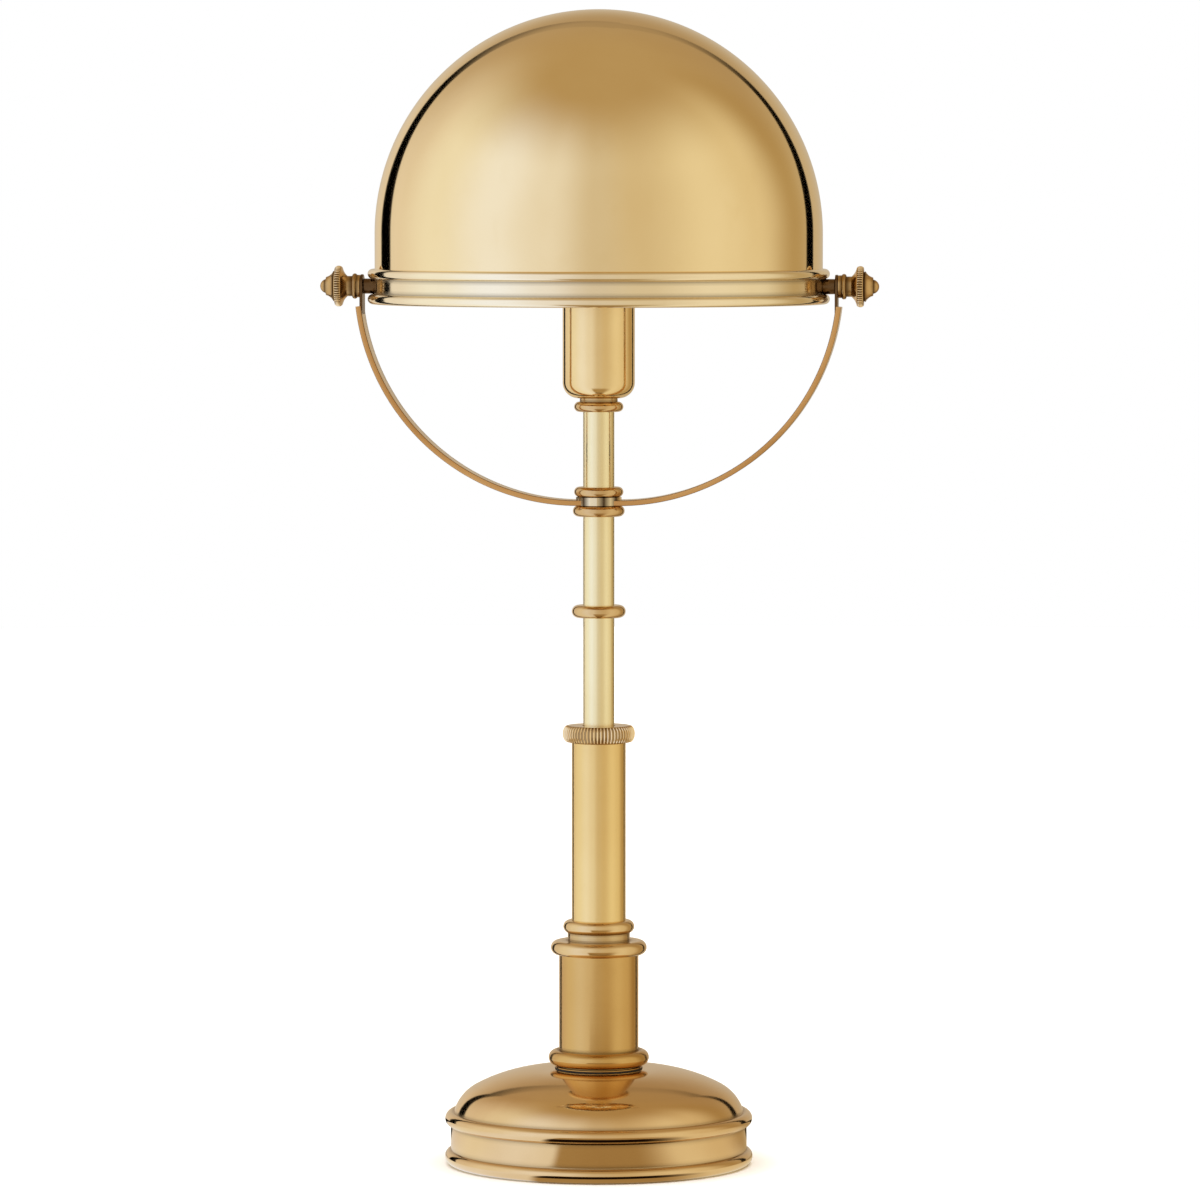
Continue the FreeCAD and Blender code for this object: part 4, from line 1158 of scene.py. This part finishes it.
@dataclass
class Yoke(Assembly):
    """Flat bow with its eye on the stem and a thin ear at each pivot."""

    body: str = "stem"
    eye_low: float = 317.5
    eye_high: float = 321.6
    eye_r: float = 11.0
    eye_facets: int = 20
    # Painted glints (low) and painted shade (high) for the eye's facet corners, in turn.
    eye_glints_and_shade: tuple[float, ...] = (0.1, 1.0, 0.1, 1.0, 0.0)
    stem_r: float = 7.5
    strap_r: float = 107.2
    strap_t: float = 2.6
    strap_w: float = 15.0
    flat_half: float = 9.9
    step_z: float = 412.8
    corner: float = 0.35
    ear_in: float = 113.3
    ear_t: float = 1.4
    ear_half: float = 5.7
    ear_foot: float = 404.8
    pivot_z: float = 422.4
    edge_on: float = 0.9
    slanted: float = 0.2
    ear_edge: float = 0.2
    ear_steps: int = 24
    steps: int = 241

    def strap(self, bow: Growth) -> bpy.types.Object:
        """The bow, grown from its rule.

        Args:
            bow: The tree that makes the bow.

        Returns:
            The bow.
        """
        middle_r = self.strap_r - self.strap_t / 2
        centre_z = self.eye_low + self.strap_r
        turn = math.pi / 2 - math.asin((centre_z - self.step_z) / middle_r)
        sizes = {
            "Flat half": self.flat_half * MM,
            "Radius": middle_r * MM,
            "Half length": (self.flat_half + middle_r * turn) * MM,
            "Width": self.strap_w * MM,
            "Thickness": self.strap_t * MM,
            "Corner": self.corner * MM,
            "Lift": (self.eye_low + self.strap_t / 2) * MM,
            "Steps": self.steps,
        }
        piece = bow.grow("yoke_bow", sizes, YOKE_BRASS)
        piece.data.materials.append(PAINT.of(YOKE_FRONT_SHADE))
        piece.data.materials.append(PAINT.of(YOKE_CORNER_SHADE))
        # Faces that look to the front or back get painted shade, and the slanted corner faces get
        # darker painted shade.
        for face in piece.data.polygons:
            sideways = abs(face.normal.y)
            face.material_index = 1 if sideways > self.edge_on else 2 * (sideways > self.slanted)
        return piece

    def eye(self) -> bpy.types.Object:
        """The faceted eye between the two collars, with painted glints and painted shade on
        alternate facets.
        """
        section = Section(self.stem_r, self.eye_low).to(self.eye_r, self.eye_low)
        section.to(self.eye_r, self.eye_high).to(self.stem_r, self.eye_high)
        piece = spin("yoke_eye", section.eased(0.3), EYE_BRASS, self.eye_facets)
        piece.data.set_sharp_from_angle(angle=math.radians(12))
        # Each facet corner gets a painted glint or painted shade from the list.
        glints = self.eye_glints_and_shade
        depth = [glints[i % self.eye_facets % len(glints)] for i in range(len(piece.data.vertices))]
        piece.data.attributes[SHADE_AND_TARNISH].data.foreach_set("value", depth)
        return piece

    def ear(self, side: Side) -> bpy.types.Object:
        """A thin ear with a round end at the pivot.

        Args:
            side: End of the pivot axis.

        Returns:
            The ear.
        """
        rim: list[Point] = [(-self.ear_half, self.ear_foot), (self.ear_half, self.ear_foot)]
        for step in range(self.ear_steps + 1):
            turn = math.pi * step / self.ear_steps
            across, up = self.ear_half * math.cos(turn), self.ear_half * math.sin(turn)
            rim.append((across, self.pivot_z + up))
        count, edge = len(rim), self.ear_edge
        out = self.ear_in + self.ear_t
        layers = ((self.ear_in, edge), (self.ear_in + edge, 0.0), (out - edge, 0.0), (out, edge))
        vertices: list[tuple[float, float, float]] = []
        for x, inset in layers:
            scale = 1 - inset / self.ear_half
            drop = [inset * (z > self.pivot_z) for _, z in rim]
            vertices.extend((side.value * x, y * scale, z - d) for (y, z), d in zip(rim, drop))
        faces: list[tuple[int, ...]] = []
        for base in range(0, (len(layers) - 1) * count, count):
            for index in range(count):
                near = (index + 1) % count
                far = base + count
                faces.append((base + index, base + near, far + near, far + index))
        faces.append(tuple(reversed(range(count))))
        faces.append(tuple(range((len(layers) - 1) * count, len(layers) * count)))
        if side is Side.LEFT:
            faces = [tuple(reversed(f)) for f in faces]
        return piece_from(f"yoke_ear_{side.name.lower()}", np.array(vertices), faces, PIVOT_BRASS)

    def build(self, bow: Growth) -> None:
        """Builds and seats the yoke.

        Args:
            bow: The tree that makes the bow.
        """
        self.seat(self.strap(bow), "brass_aged", "yoke_strap")
        self.seat(self.eye(), "brass_aged", "yoke_strap")
        for side in Side:
            self.seat(self.ear(side), "brass_dark", "yoke_strap")


@dataclass
class Shade(Assembly):
    """Half-round spun shade, its two-bead rim and the pivots in the rim."""

    body: str = "shade"
    shade_r: float = 107.2
    wall: float = 1.0
    centre_z: float = 447.4
    ledge_z: float = 428.4
    band_r: float = 107.3
    band_t: float = 2.1
    low_bead: Bead = (110.58, 416.4, 2.4)
    high_bead: Bead = (110.58, 428.4, 2.4)
    pivot_z: float = 422.4
    stud_r: float = 2.05
    spacer_r: float = 3.65
    spacer_end: float = 113.2
    lap_room: float = 0.02

    def slope(self, radius: float) -> Point:
        """Point half way up a half-round of a radius."""
        return (radius * HALF_ROOT, self.centre_z + radius * HALF_ROOT)

    def dome(self) -> bpy.types.Object:
        """The spun half-round."""
        inner = self.shade_r - self.wall
        section = Section(inner, self.ledge_z).to(self.shade_r, self.ledge_z)
        section.to(self.shade_r, self.centre_z)
        section.arc(self.slope(self.shade_r), (0.0, self.centre_z + self.shade_r), FINE_STEP)
        section.to(0.0, self.centre_z + inner)
        section.arc(self.slope(inner), (inner, self.centre_z), FINE_STEP)
        return spin("shade_dome_spun", section.eased(0.2), SHADE_BRASS, 288)

    def rim(self) -> bpy.types.Object:
        """The ring with a bead at both edges and a plain band between them."""
        inner = self.band_r - self.band_t
        core = self.low_bead[0] - self.low_bead[2]
        low = self.low_bead[1] - self.low_bead[2]
        high = self.high_bead[1] + self.high_bead[2]
        section = Section(inner, low).to(core, low)
        section.bead(*self.low_bead, core, self.band_r)
        section.bead(*self.high_bead, self.band_r, core)
        lap_r = self.shade_r + self.lap_room
        section.to(lap_r, high).to(lap_r, self.ledge_z)
        section.to(inner, self.ledge_z)
        return spin("shade_rim_turned", section.eased(0.15), RIM_BRASS, 288)

    def spacer(self, side: Side) -> bpy.types.Object:
        """Dark bush between the rim and the yoke's ear.

        Args:
            side: End of the pivot axis.

        Returns:
            The spacer.
        """
        length = self.spacer_end - self.band_r
        section = Section(self.stud_r, 0.0).to(self.spacer_r, 0.0)
        section.to(self.spacer_r, length).to(self.stud_r, length)
        place = laid(side, self.band_r, self.pivot_z)
        name = f"pivot_spacer_{side.name.lower()}"
        return spin(name, section.eased(0.3), PIVOT_BRASS, 64, place)

    def build(self) -> None:
        """Builds and seats the shade."""
        self.seat(self.dome(), "brass_shade", "shade_dome")
        self.seat(self.rim(), "brass_shade", "shade_rim")
        for side in Side:
            self.seat(self.spacer(side), "brass_dark", "pivot_spacers")


@dataclass
class Knob(Assembly):
    """Finial knob: bead, neck, ribbed disc, stepped cone and a button at the tip."""

    side: Side = Side.LEFT
    pivot_z: float = 422.4
    face: float = 114.8
    face_r: float = 5.4
    face_l: float = 1.6
    bead_r: float = 6.1
    bead_l: float = 2.2
    neck_r: float = 4.85
    neck_l: float = 2.5
    cove_l: float = 2.6
    cove_sag: float = 0.4
    disc_r: float = 9.8
    disc_l: float = 3.2
    edge: float = 0.6
    groove_r: float = 6.9
    step_r: float = 7.3
    step_l: float = 0.9
    cone_r: float = 4.4
    cone_l: float = 3.6
    cone_sag: float = 0.5
    tip_r: float = 3.4
    tip_l: float = 2.9
    bulge: float = 0.9
    rib_depth: float = 0.42
    rib_r: float = 0.38
    ribs: int = 50
    stud_r: float = 2.05
    hole_l: float = 9.2
    # How far past the disc's edge the painted shade with dirt under the ribs starts.
    shade_out: float = 0.05

    @property
    def disc_foot(self) -> float:
        """Where the disc starts, from the knob's face."""
        return self.face_l + self.bead_l + self.neck_l + self.cove_l

    def core(self) -> bpy.types.Object:
        """The turned knob, with the belt of the disc sunk by the depth of its ribs."""
        bead_end = self.face_l + self.bead_l
        disc_end = self.disc_foot + self.disc_l
        edge_r, root = self.disc_r - self.edge, self.disc_r - self.rib_depth
        cove_foot, cove_top = (self.neck_r, bead_end + self.neck_l), (edge_r, self.disc_foot)
        cone_foot = (self.step_r, disc_end + self.step_l)
        cone_top = (self.cone_r, cone_foot[1] + self.cone_l)
        low, high = self.disc_foot + self.edge, disc_end - self.edge
        tip = cone_top[1] + self.tip_l
        ball = (self.tip_r**2 + self.tip_l**2) / (2 * self.tip_l)
        half = math.atan2(self.tip_r, ball - self.tip_l) / 2
        section = Section(self.stud_r, 0.0).to(self.face_r, 0.0).to(self.face_r, self.face_l)
        section.arc((self.bead_r, self.face_l + self.bead_l / 2), (self.face_r, bead_end))
        section.to(self.neck_r, bead_end).to(*cove_foot)
        section.arc(bulged(cove_foot, cove_top, -self.cove_sag), cove_top)
        section.to(root, low).to(root, high)
        section.to(edge_r, disc_end).to(self.groove_r, disc_end).to(*cone_foot)
        section.arc(bulged(cone_foot, cone_top, -self.cone_sag), cone_top)
        section.to(self.tip_r, cone_top[1])
        section.arc((ball * math.sin(half), tip - ball + ball * math.cos(half)), (0.0, tip))
        section.to(0.0, self.hole_l).to(self.stud_r, self.hole_l)
        place = laid(self.side, self.face, self.pivot_z)
        # The belt under the ribs gets full painted shade with dirt.
        shaded_r = edge_r + self.shade_out
        name = f"{self.body}_turned"
        return spin(name, section.eased(0.15), KNOB_BRASS, 128, place, shaded_r)

    def build(self, knurl: Growth) -> None:
        """Builds and seats the knob and its ribs.

        Args:
            knurl: The tree that makes ribs.
        """
        self.seat(self.core(), "brass_aged", self.body)
        span = (self.disc_foot, self.disc_foot + self.disc_l)
        name = f"{self.body}_knurl"
        ribs = grow_ribs(knurl, name, self.ribs, self.disc_r, self.bulge, self.rib_r, span)
        sign = self.side.value
        rows = (
            (0.0, 0.0, sign, sign * self.face * MM),
            (0.0, sign, 0.0, 0.0),
            (-1.0, 0.0, 0.0, self.pivot_z * MM),
            (0.0, 0.0, 0.0, 1.0),
        )
        turn = Matrix(rows)
        ribs.data.transform(turn)
        self.seat(ribs, "brass_aged", self.body)


@dataclass
class Bulb(Assembly):
    """Frosted globe and its screw cap."""

    body: str = "stem"
    cap_r: float = 13.1
    cap_wall: float = 0.4
    cap_foot: float = 388.1
    cap_top: float = 412.1
    thread_r: float = 12.3
    turns: int = 5
    globe_r: float = 22.5
    globe_z: float = 441.7
    neck_r: float = 12.6
    glass_wall: float = 0.8
    lap: float = 4.0

    def glass(self) -> bpy.types.Object:
        """The globe with its neck."""
        inner, inner_neck = self.globe_r - self.glass_wall, self.neck_r - self.glass_wall
        foot = self.cap_top - self.lap
        join = self.globe_z - math.sqrt(self.globe_r**2 - self.neck_r**2)
        inner_join = self.globe_z - math.sqrt(inner**2 - inner_neck**2)
        section = Section(inner_neck, foot).to(self.neck_r, foot).to(self.neck_r, join)
        section.arc((self.globe_r, self.globe_z), (0.0, self.globe_z + self.globe_r))
        section.to(0.0, self.globe_z + inner)
        section.arc((inner, self.globe_z), (inner_neck, inner_join))
        return spin("bulb_globe", section.eased(0.5), BULB_GLASS, 96)

    def cap(self) -> bpy.types.Object:
        """The cap with its rolled thread."""
        inner = self.thread_r - self.cap_wall
        pitch = (self.cap_top - self.cap_foot) / (self.turns + 1)
        section = Section(inner, self.cap_foot).to(self.thread_r, self.cap_foot)
        for index in range(self.turns):
            low = self.cap_foot + (index + 0.35) * pitch
            section.to(self.thread_r, low)
            section.arc((self.cap_r, low + pitch * 0.4), (self.thread_r, low + pitch * 0.8))
        section.to(self.thread_r, self.cap_top).to(inner, self.cap_top)
        return spin("bulb_cap_rolled", section.eased(0.1), BULB_METAL, 96)

    def build(self) -> None:
        """Builds and seats the bulb."""
        self.seat(self.glass(), "bulb_glass", "bulb_glass")
        self.seat(self.cap(), "bulb_metal", "bulb_cap")


class HiddenWorks:
    """The CAD nodes that stay as they are: each gets its own finish."""

    FINISHES: dict[str, Finish] = {
        "felt_pad": FELT,
        "base_plate": STEEL,
        "plate_screws": STEEL,
        "base_weight": IRON,
        "cord_bush": PLASTIC,
        "bush_retainer": STEEL,
        "tie_tube": STEEL,
        "tie_nut": STEEL,
        "tie_washer": STEEL,
        "column_foot": RAW_BRASS,
        "column_head": RAW_BRASS,
        "collet": RAW_BRASS,
        "guide_bush": NYLON,
        "retaining_rings": STEEL,
        "grub_screws": STEEL,
        "holder_nipple": STEEL,
        "nipple_nut": STEEL,
        "insulating_liner": FIBRE,
        "holder_body": PHENOLIC,
        "screw_shell": RAW_BRASS,
        "centre_contact": RAW_BRASS,
        "terminal_screws": RAW_BRASS,
        "bulb_contact": BLACK_GLASS,
        "pivot_studs": STEEL,
        "inner_washers": RAW_BRASS,
        "inner_nuts": RAW_BRASS,
    }

    def build(self) -> None:
        """Gives each node its material."""
        for name, finish in self.FINISHES.items():
            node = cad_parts[name]
            node.data.materials.clear()
            node.data.materials.append(PAINT.of(finish))
            LOG.info("%s keeps its CAD mesh, finish %s", name, finish.name)


# ---------------------------------------------------------------- studio


@dataclass(frozen=True)
class Studio:
    """White room with soft panels round the lamp, and the camera."""

    camera_distance: float = 3.25
    camera_height: float = 0.470
    camera_azimuth: float = 5.0
    aim: tuple[float, float, float] = (0.0006, 0.0, 0.272)
    lens: float = 203.5
    floor_r: float = 4.0
    top_light: float = 3.4
    floor_steps: int = 96

    PANELS = (
        (0.00, (0.58, 0.49, 0.37)),
        (0.09, (0.78, 0.68, 0.54)),
        (0.16, (0.82, 0.76, 0.68)),
        (0.25, (0.92, 0.93, 0.90)),
        (0.36, (0.94, 1.00, 1.16)),
        (0.44, (0.87, 0.88, 0.92)),
        (0.51, (0.71, 0.65, 0.55)),
        (0.57, (0.71, 0.62, 0.46)),
        (0.68, (0.87, 0.81, 0.65)),
        (0.76, (0.80, 0.71, 0.52)),
        (0.85, (0.49, 0.36, 0.18)),
        (0.92, (0.60, 0.49, 0.33)),
        (1.00, (0.58, 0.49, 0.37)),
    )
    OVERHEAD = (0.50, 0.37, 0.20)
    BACK_WALL = (0.42, 0.29, 0.15)
    BACK_SHARE = 0.75
    BLACK = (0.0, 0.0, 0.0)
    WHITE = (1.0, 1.0, 1.0)
    BACK_SPAN = radians(75, 25)  # from the back
    HIGH_SPAN = radians(8, 38)
    OVERHEAD_SPAN = radians(30, 74)
    GAP_FOOT = radians(43.0, -7.0)  # on the left, and what the right adds
    GAP_TOP = math.radians(44.0)
    GAP_SHAPE = 1.7
    GAP_EDGE = (1.12, 0.92)
    GAP_SIDES = (-0.5, 0.5)
    GAP_WIDTH = (0.0, math.radians(30), 0.29, 0.16)
    GAP_THINNER = -0.18  # on the right
    GAP_FADE = (*radians(24, 43), 1.0, 0.12)
    PATCH_LEFT = radians(-24, -18)
    PATCH_RIGHT = radians(56, 26)
    PATCH_FAR = (0.6, 0.32)
    PATCH_NEAR = (0.122, 0.108)
    PATCH_FOOT = (0.0762, 0.0775)
    # Painted shade on the floor in front of the lamp, and a painted shadow close to its foot, seen
    # in reflections.
    FAR_FLOOR_SHADE = (0.42, 0.30, 0.15)
    NEAR_FLOOR_SHADOW = (0.01, 0.004, 0.002)

    def panels_group(self) -> bpy.types.NodeTree:
        """Node group that gives the colour of the room in a direction."""
        group = bpy.data.node_groups.new("studio_room", "ShaderNodeTree")
        group.interface.new_socket("Direction", in_out="INPUT", socket_type="NodeSocketVector")
        group.interface.new_socket("Light", in_out="OUTPUT", socket_type="NodeSocketColor")
        sheet = Sheet(group)
        entry = sheet.add("NodeGroupInput")
        split = sheet.add("ShaderNodeSeparateXYZ", {0: entry.outputs[0]})
        azimuth = self.azimuth(sheet, split)
        share = sheet.math("MULTIPLY_ADD", azimuth, 1 / math.tau, 0.5)
        raised = sheet.math("MAXIMUM", sheet.math("ARCSINE", split.outputs["Z"]), 0.0)
        behind = sheet.math("SUBTRACT", math.pi, sheet.math("ABSOLUTE", azimuth))
        at_back = sheet.span(behind, *self.BACK_SPAN)
        high_up = sheet.span(raised, *self.HIGH_SPAN)
        dim = sheet.math("MULTIPLY", sheet.math("MULTIPLY", at_back, high_up), self.BACK_SHARE)
        room = sheet.mix(dim, sheet.ramp(share, self.PANELS), self.BACK_WALL)
        room = sheet.mix(sheet.span(raised, *self.OVERHEAD_SPAN), room, self.OVERHEAD)
        dark = self.gap(sheet, azimuth, behind, raised)
        sheet.add("NodeGroupOutput", {0: sheet.mix(dark, room, self.BLACK)})
        return group

    def azimuth(self, sheet: Sheet, split: bpy.types.Node) -> bpy.types.NodeSocket:
        """Angle of a direction about Z, from the front to the right.

        Args:
            sheet: The tree to add to.
            split: The direction, split into its three parts.

        Returns:
            The angle's socket.
        """
        front = sheet.math("MULTIPLY", split.outputs["Y"], -1.0)
        return sheet.math("ARCTAN2", split.outputs["X"], front)

    def gap(
        self, sheet: Sheet, azimuth: object, behind: object, raised: object
    ) -> bpy.types.NodeSocket:
        """Dark arch between the panels at the back of the room.

        Args:
            sheet: The tree to add to.
            azimuth: Socket of the angle from the front.
            behind: Socket of the angle from the back.
            raised: Socket of the height as an angle.

        Returns:
            The socket that says how dark the room is.
        """
        side = sheet.span(azimuth, *self.GAP_SIDES)
        foot = sheet.math("MULTIPLY_ADD", side, self.GAP_FOOT[1], self.GAP_FOOT[0])
        across = sheet.math("POWER", sheet.math("DIVIDE", behind, foot), self.GAP_SHAPE)
        up = sheet.math("POWER", sheet.math("DIVIDE", raised, self.GAP_TOP), self.GAP_SHAPE)
        ring = sheet.math("ABSOLUTE", sheet.math("SUBTRACT", sheet.math("ADD", across, up), 1.0))
        thinner = sheet.math("MULTIPLY_ADD", side, self.GAP_THINNER, 1.0)
        width = sheet.math("MULTIPLY", sheet.span(raised, *self.GAP_WIDTH), thinner)
        arch = sheet.span(sheet.math("DIVIDE", ring, width), *self.GAP_EDGE)
        return sheet.math("MULTIPLY", arch, sheet.span(raised, *self.GAP_FADE), clamp=True)

    def world(self, group: bpy.types.NodeTree) -> None:
        """Lights the scene with the room, in front of a plain white backdrop.

        Args:
            group: Colour of the room by direction.
        """
        world = bpy.data.worlds.new("studio")
        world.use_nodes = True
        bpy.context.scene.world = world
        sheet = Sheet(world.node_tree)
        place = sheet.add("ShaderNodeTexCoord").outputs["Generated"]
        room = sheet.add("ShaderNodeGroup", {0: place}, node_tree=group)
        seen = sheet.add("ShaderNodeLightPath").outputs["Is Camera Ray"]
        colour = sheet.mix(seen, room.outputs[0], self.WHITE)
        back = sheet.add("ShaderNodeBackground", {"Color": colour})
        sheet.add("ShaderNodeOutputWorld", {0: back.outputs[0]})

    def floor_light(self, sheet: Sheet, group: bpy.types.NodeTree) -> bpy.types.NodeSocket:
        """What polished metal mirrors of the floor: a painted reflection of the room, with painted
        shade in front of the lamp and a painted shadow at its foot.

        Args:
            sheet: The floor's tree.
            group: Colour of the room by direction.

        Returns:
            The colour socket.
        """
        place = sheet.add("ShaderNodeTexCoord").outputs["Object"]
        flat = sheet.add("ShaderNodeVectorMath", {0: place}, operation="NORMALIZE")
        room = sheet.add("ShaderNodeGroup", {0: flat.outputs[0]}, node_tree=group)
        turn = self.azimuth(sheet, sheet.add("ShaderNodeSeparateXYZ", {0: place}))
        length = sheet.add("ShaderNodeVectorMath", {0: place}, operation="LENGTH")
        reach = length.outputs["Value"]
        left, right = sheet.span(turn, *self.PATCH_LEFT), sheet.span(turn, *self.PATCH_RIGHT)
        front = sheet.math("MULTIPLY", left, right)
        far = sheet.math("MULTIPLY", front, sheet.span(reach, *self.PATCH_FAR))
        near = sheet.math("MULTIPLY", front, sheet.span(reach, *self.PATCH_NEAR))
        near = sheet.math("MULTIPLY", near, sheet.span(reach, *self.PATCH_FOOT))
        # Painted shade further out in front, and a painted shadow close to the foot.
        light = sheet.mix(far, room.outputs[0], self.FAR_FLOOR_SHADE)
        return sheet.mix(near, light, self.NEAR_FLOOR_SHADOW)

    def floor(self, group: bpy.types.NodeTree) -> None:
        """White floor for the camera; to glossy rays it glows with a painted reflection of the
        room's light.

        Args:
            group: Colour of the room by direction.
        """
        rim = [math.tau * step / self.floor_steps for step in range(self.floor_steps)]
        mesh = bpy.data.meshes.new("floor")
        points = [(self.floor_r * math.cos(t), self.floor_r * math.sin(t), 0.0) for t in rim]
        mesh.from_pydata(points, [], [list(range(len(points)))])
        material = bpy.data.materials.new("floor_white")
        material.use_nodes = True
        sheet = Sheet(material.node_tree)
        glow = sheet.add("ShaderNodeEmission", {"Color": self.floor_light(sheet, group)})
        matt = sheet.add("ShaderNodeBsdfDiffuse", {"Color": (0.9, 0.9, 0.9, 1.0)})
        glossy = sheet.add("ShaderNodeLightPath").outputs["Is Glossy Ray"]
        wires = {0: glossy, 1: matt.outputs[0], 2: glow.outputs[0]}
        both = sheet.add("ShaderNodeMixShader", wires)
        sheet.add("ShaderNodeOutputMaterial", {0: both.outputs[0]})
        mesh.materials.append(material)
        floor = bpy.data.objects.new("floor", mesh)
        bpy.context.scene.collection.objects.link(floor)

    def lamp(self) -> None:
        """Broad soft light from above that whitens the floor and matt surfaces."""
        light = bpy.data.lights.new("top_soft", "SUN")
        light.energy = self.top_light
        light.angle = math.radians(75)
        lamp = bpy.data.objects.new("top_soft", light)
        lamp.visible_glossy = False
        bpy.context.scene.collection.objects.link(lamp)

    def camera(self) -> None:
        """Camera at the photograph's angle."""
        turn = math.radians(self.camera_azimuth)
        flat = self.camera_distance
        spot = Vector((flat * math.sin(turn), -flat * math.cos(turn), self.camera_height))
        data = bpy.data.cameras.new("camera")
        data.sensor_width = 36.0
        data.lens = self.lens
        data.clip_start = 0.1
        data.clip_end = 60.0
        camera = bpy.data.objects.new("camera", data)
        camera.location = spot
        aim = Vector(self.aim)
        camera.rotation_euler = (aim - spot).to_track_quat("-Z", "Y").to_euler()
        bpy.context.scene.collection.objects.link(camera)
        bpy.context.scene.camera = camera

    def build(self) -> None:
        """Sets up the room, the light, the floor and the camera."""
        group = self.panels_group()
        self.world(group)
        self.floor(group)
        self.lamp()
        self.camera()
        view = bpy.context.scene.view_settings
        view.view_transform = "Standard"
        view.look = "None"


def main() -> None:
    """Builds the lamp's looks in order."""
    logging.basicConfig(level=logging.INFO, format="%(name)s: %(message)s")
    Studio().build()
    knurl, bow = knurl_tree(), bow_tree()
    HiddenWorks().build()
    Foot().build()
    Pedestal().build()
    Column().build()
    ClampNut().build(knurl)
    Stem().build()
    Yoke().build(bow)
    Bulb().build()
    Shade().build()
    Knob("left_knob", Side.LEFT).build(knurl)
    Knob("right_knob", Side.RIGHT).build(knurl)


if __name__ == "__main__":
    main()
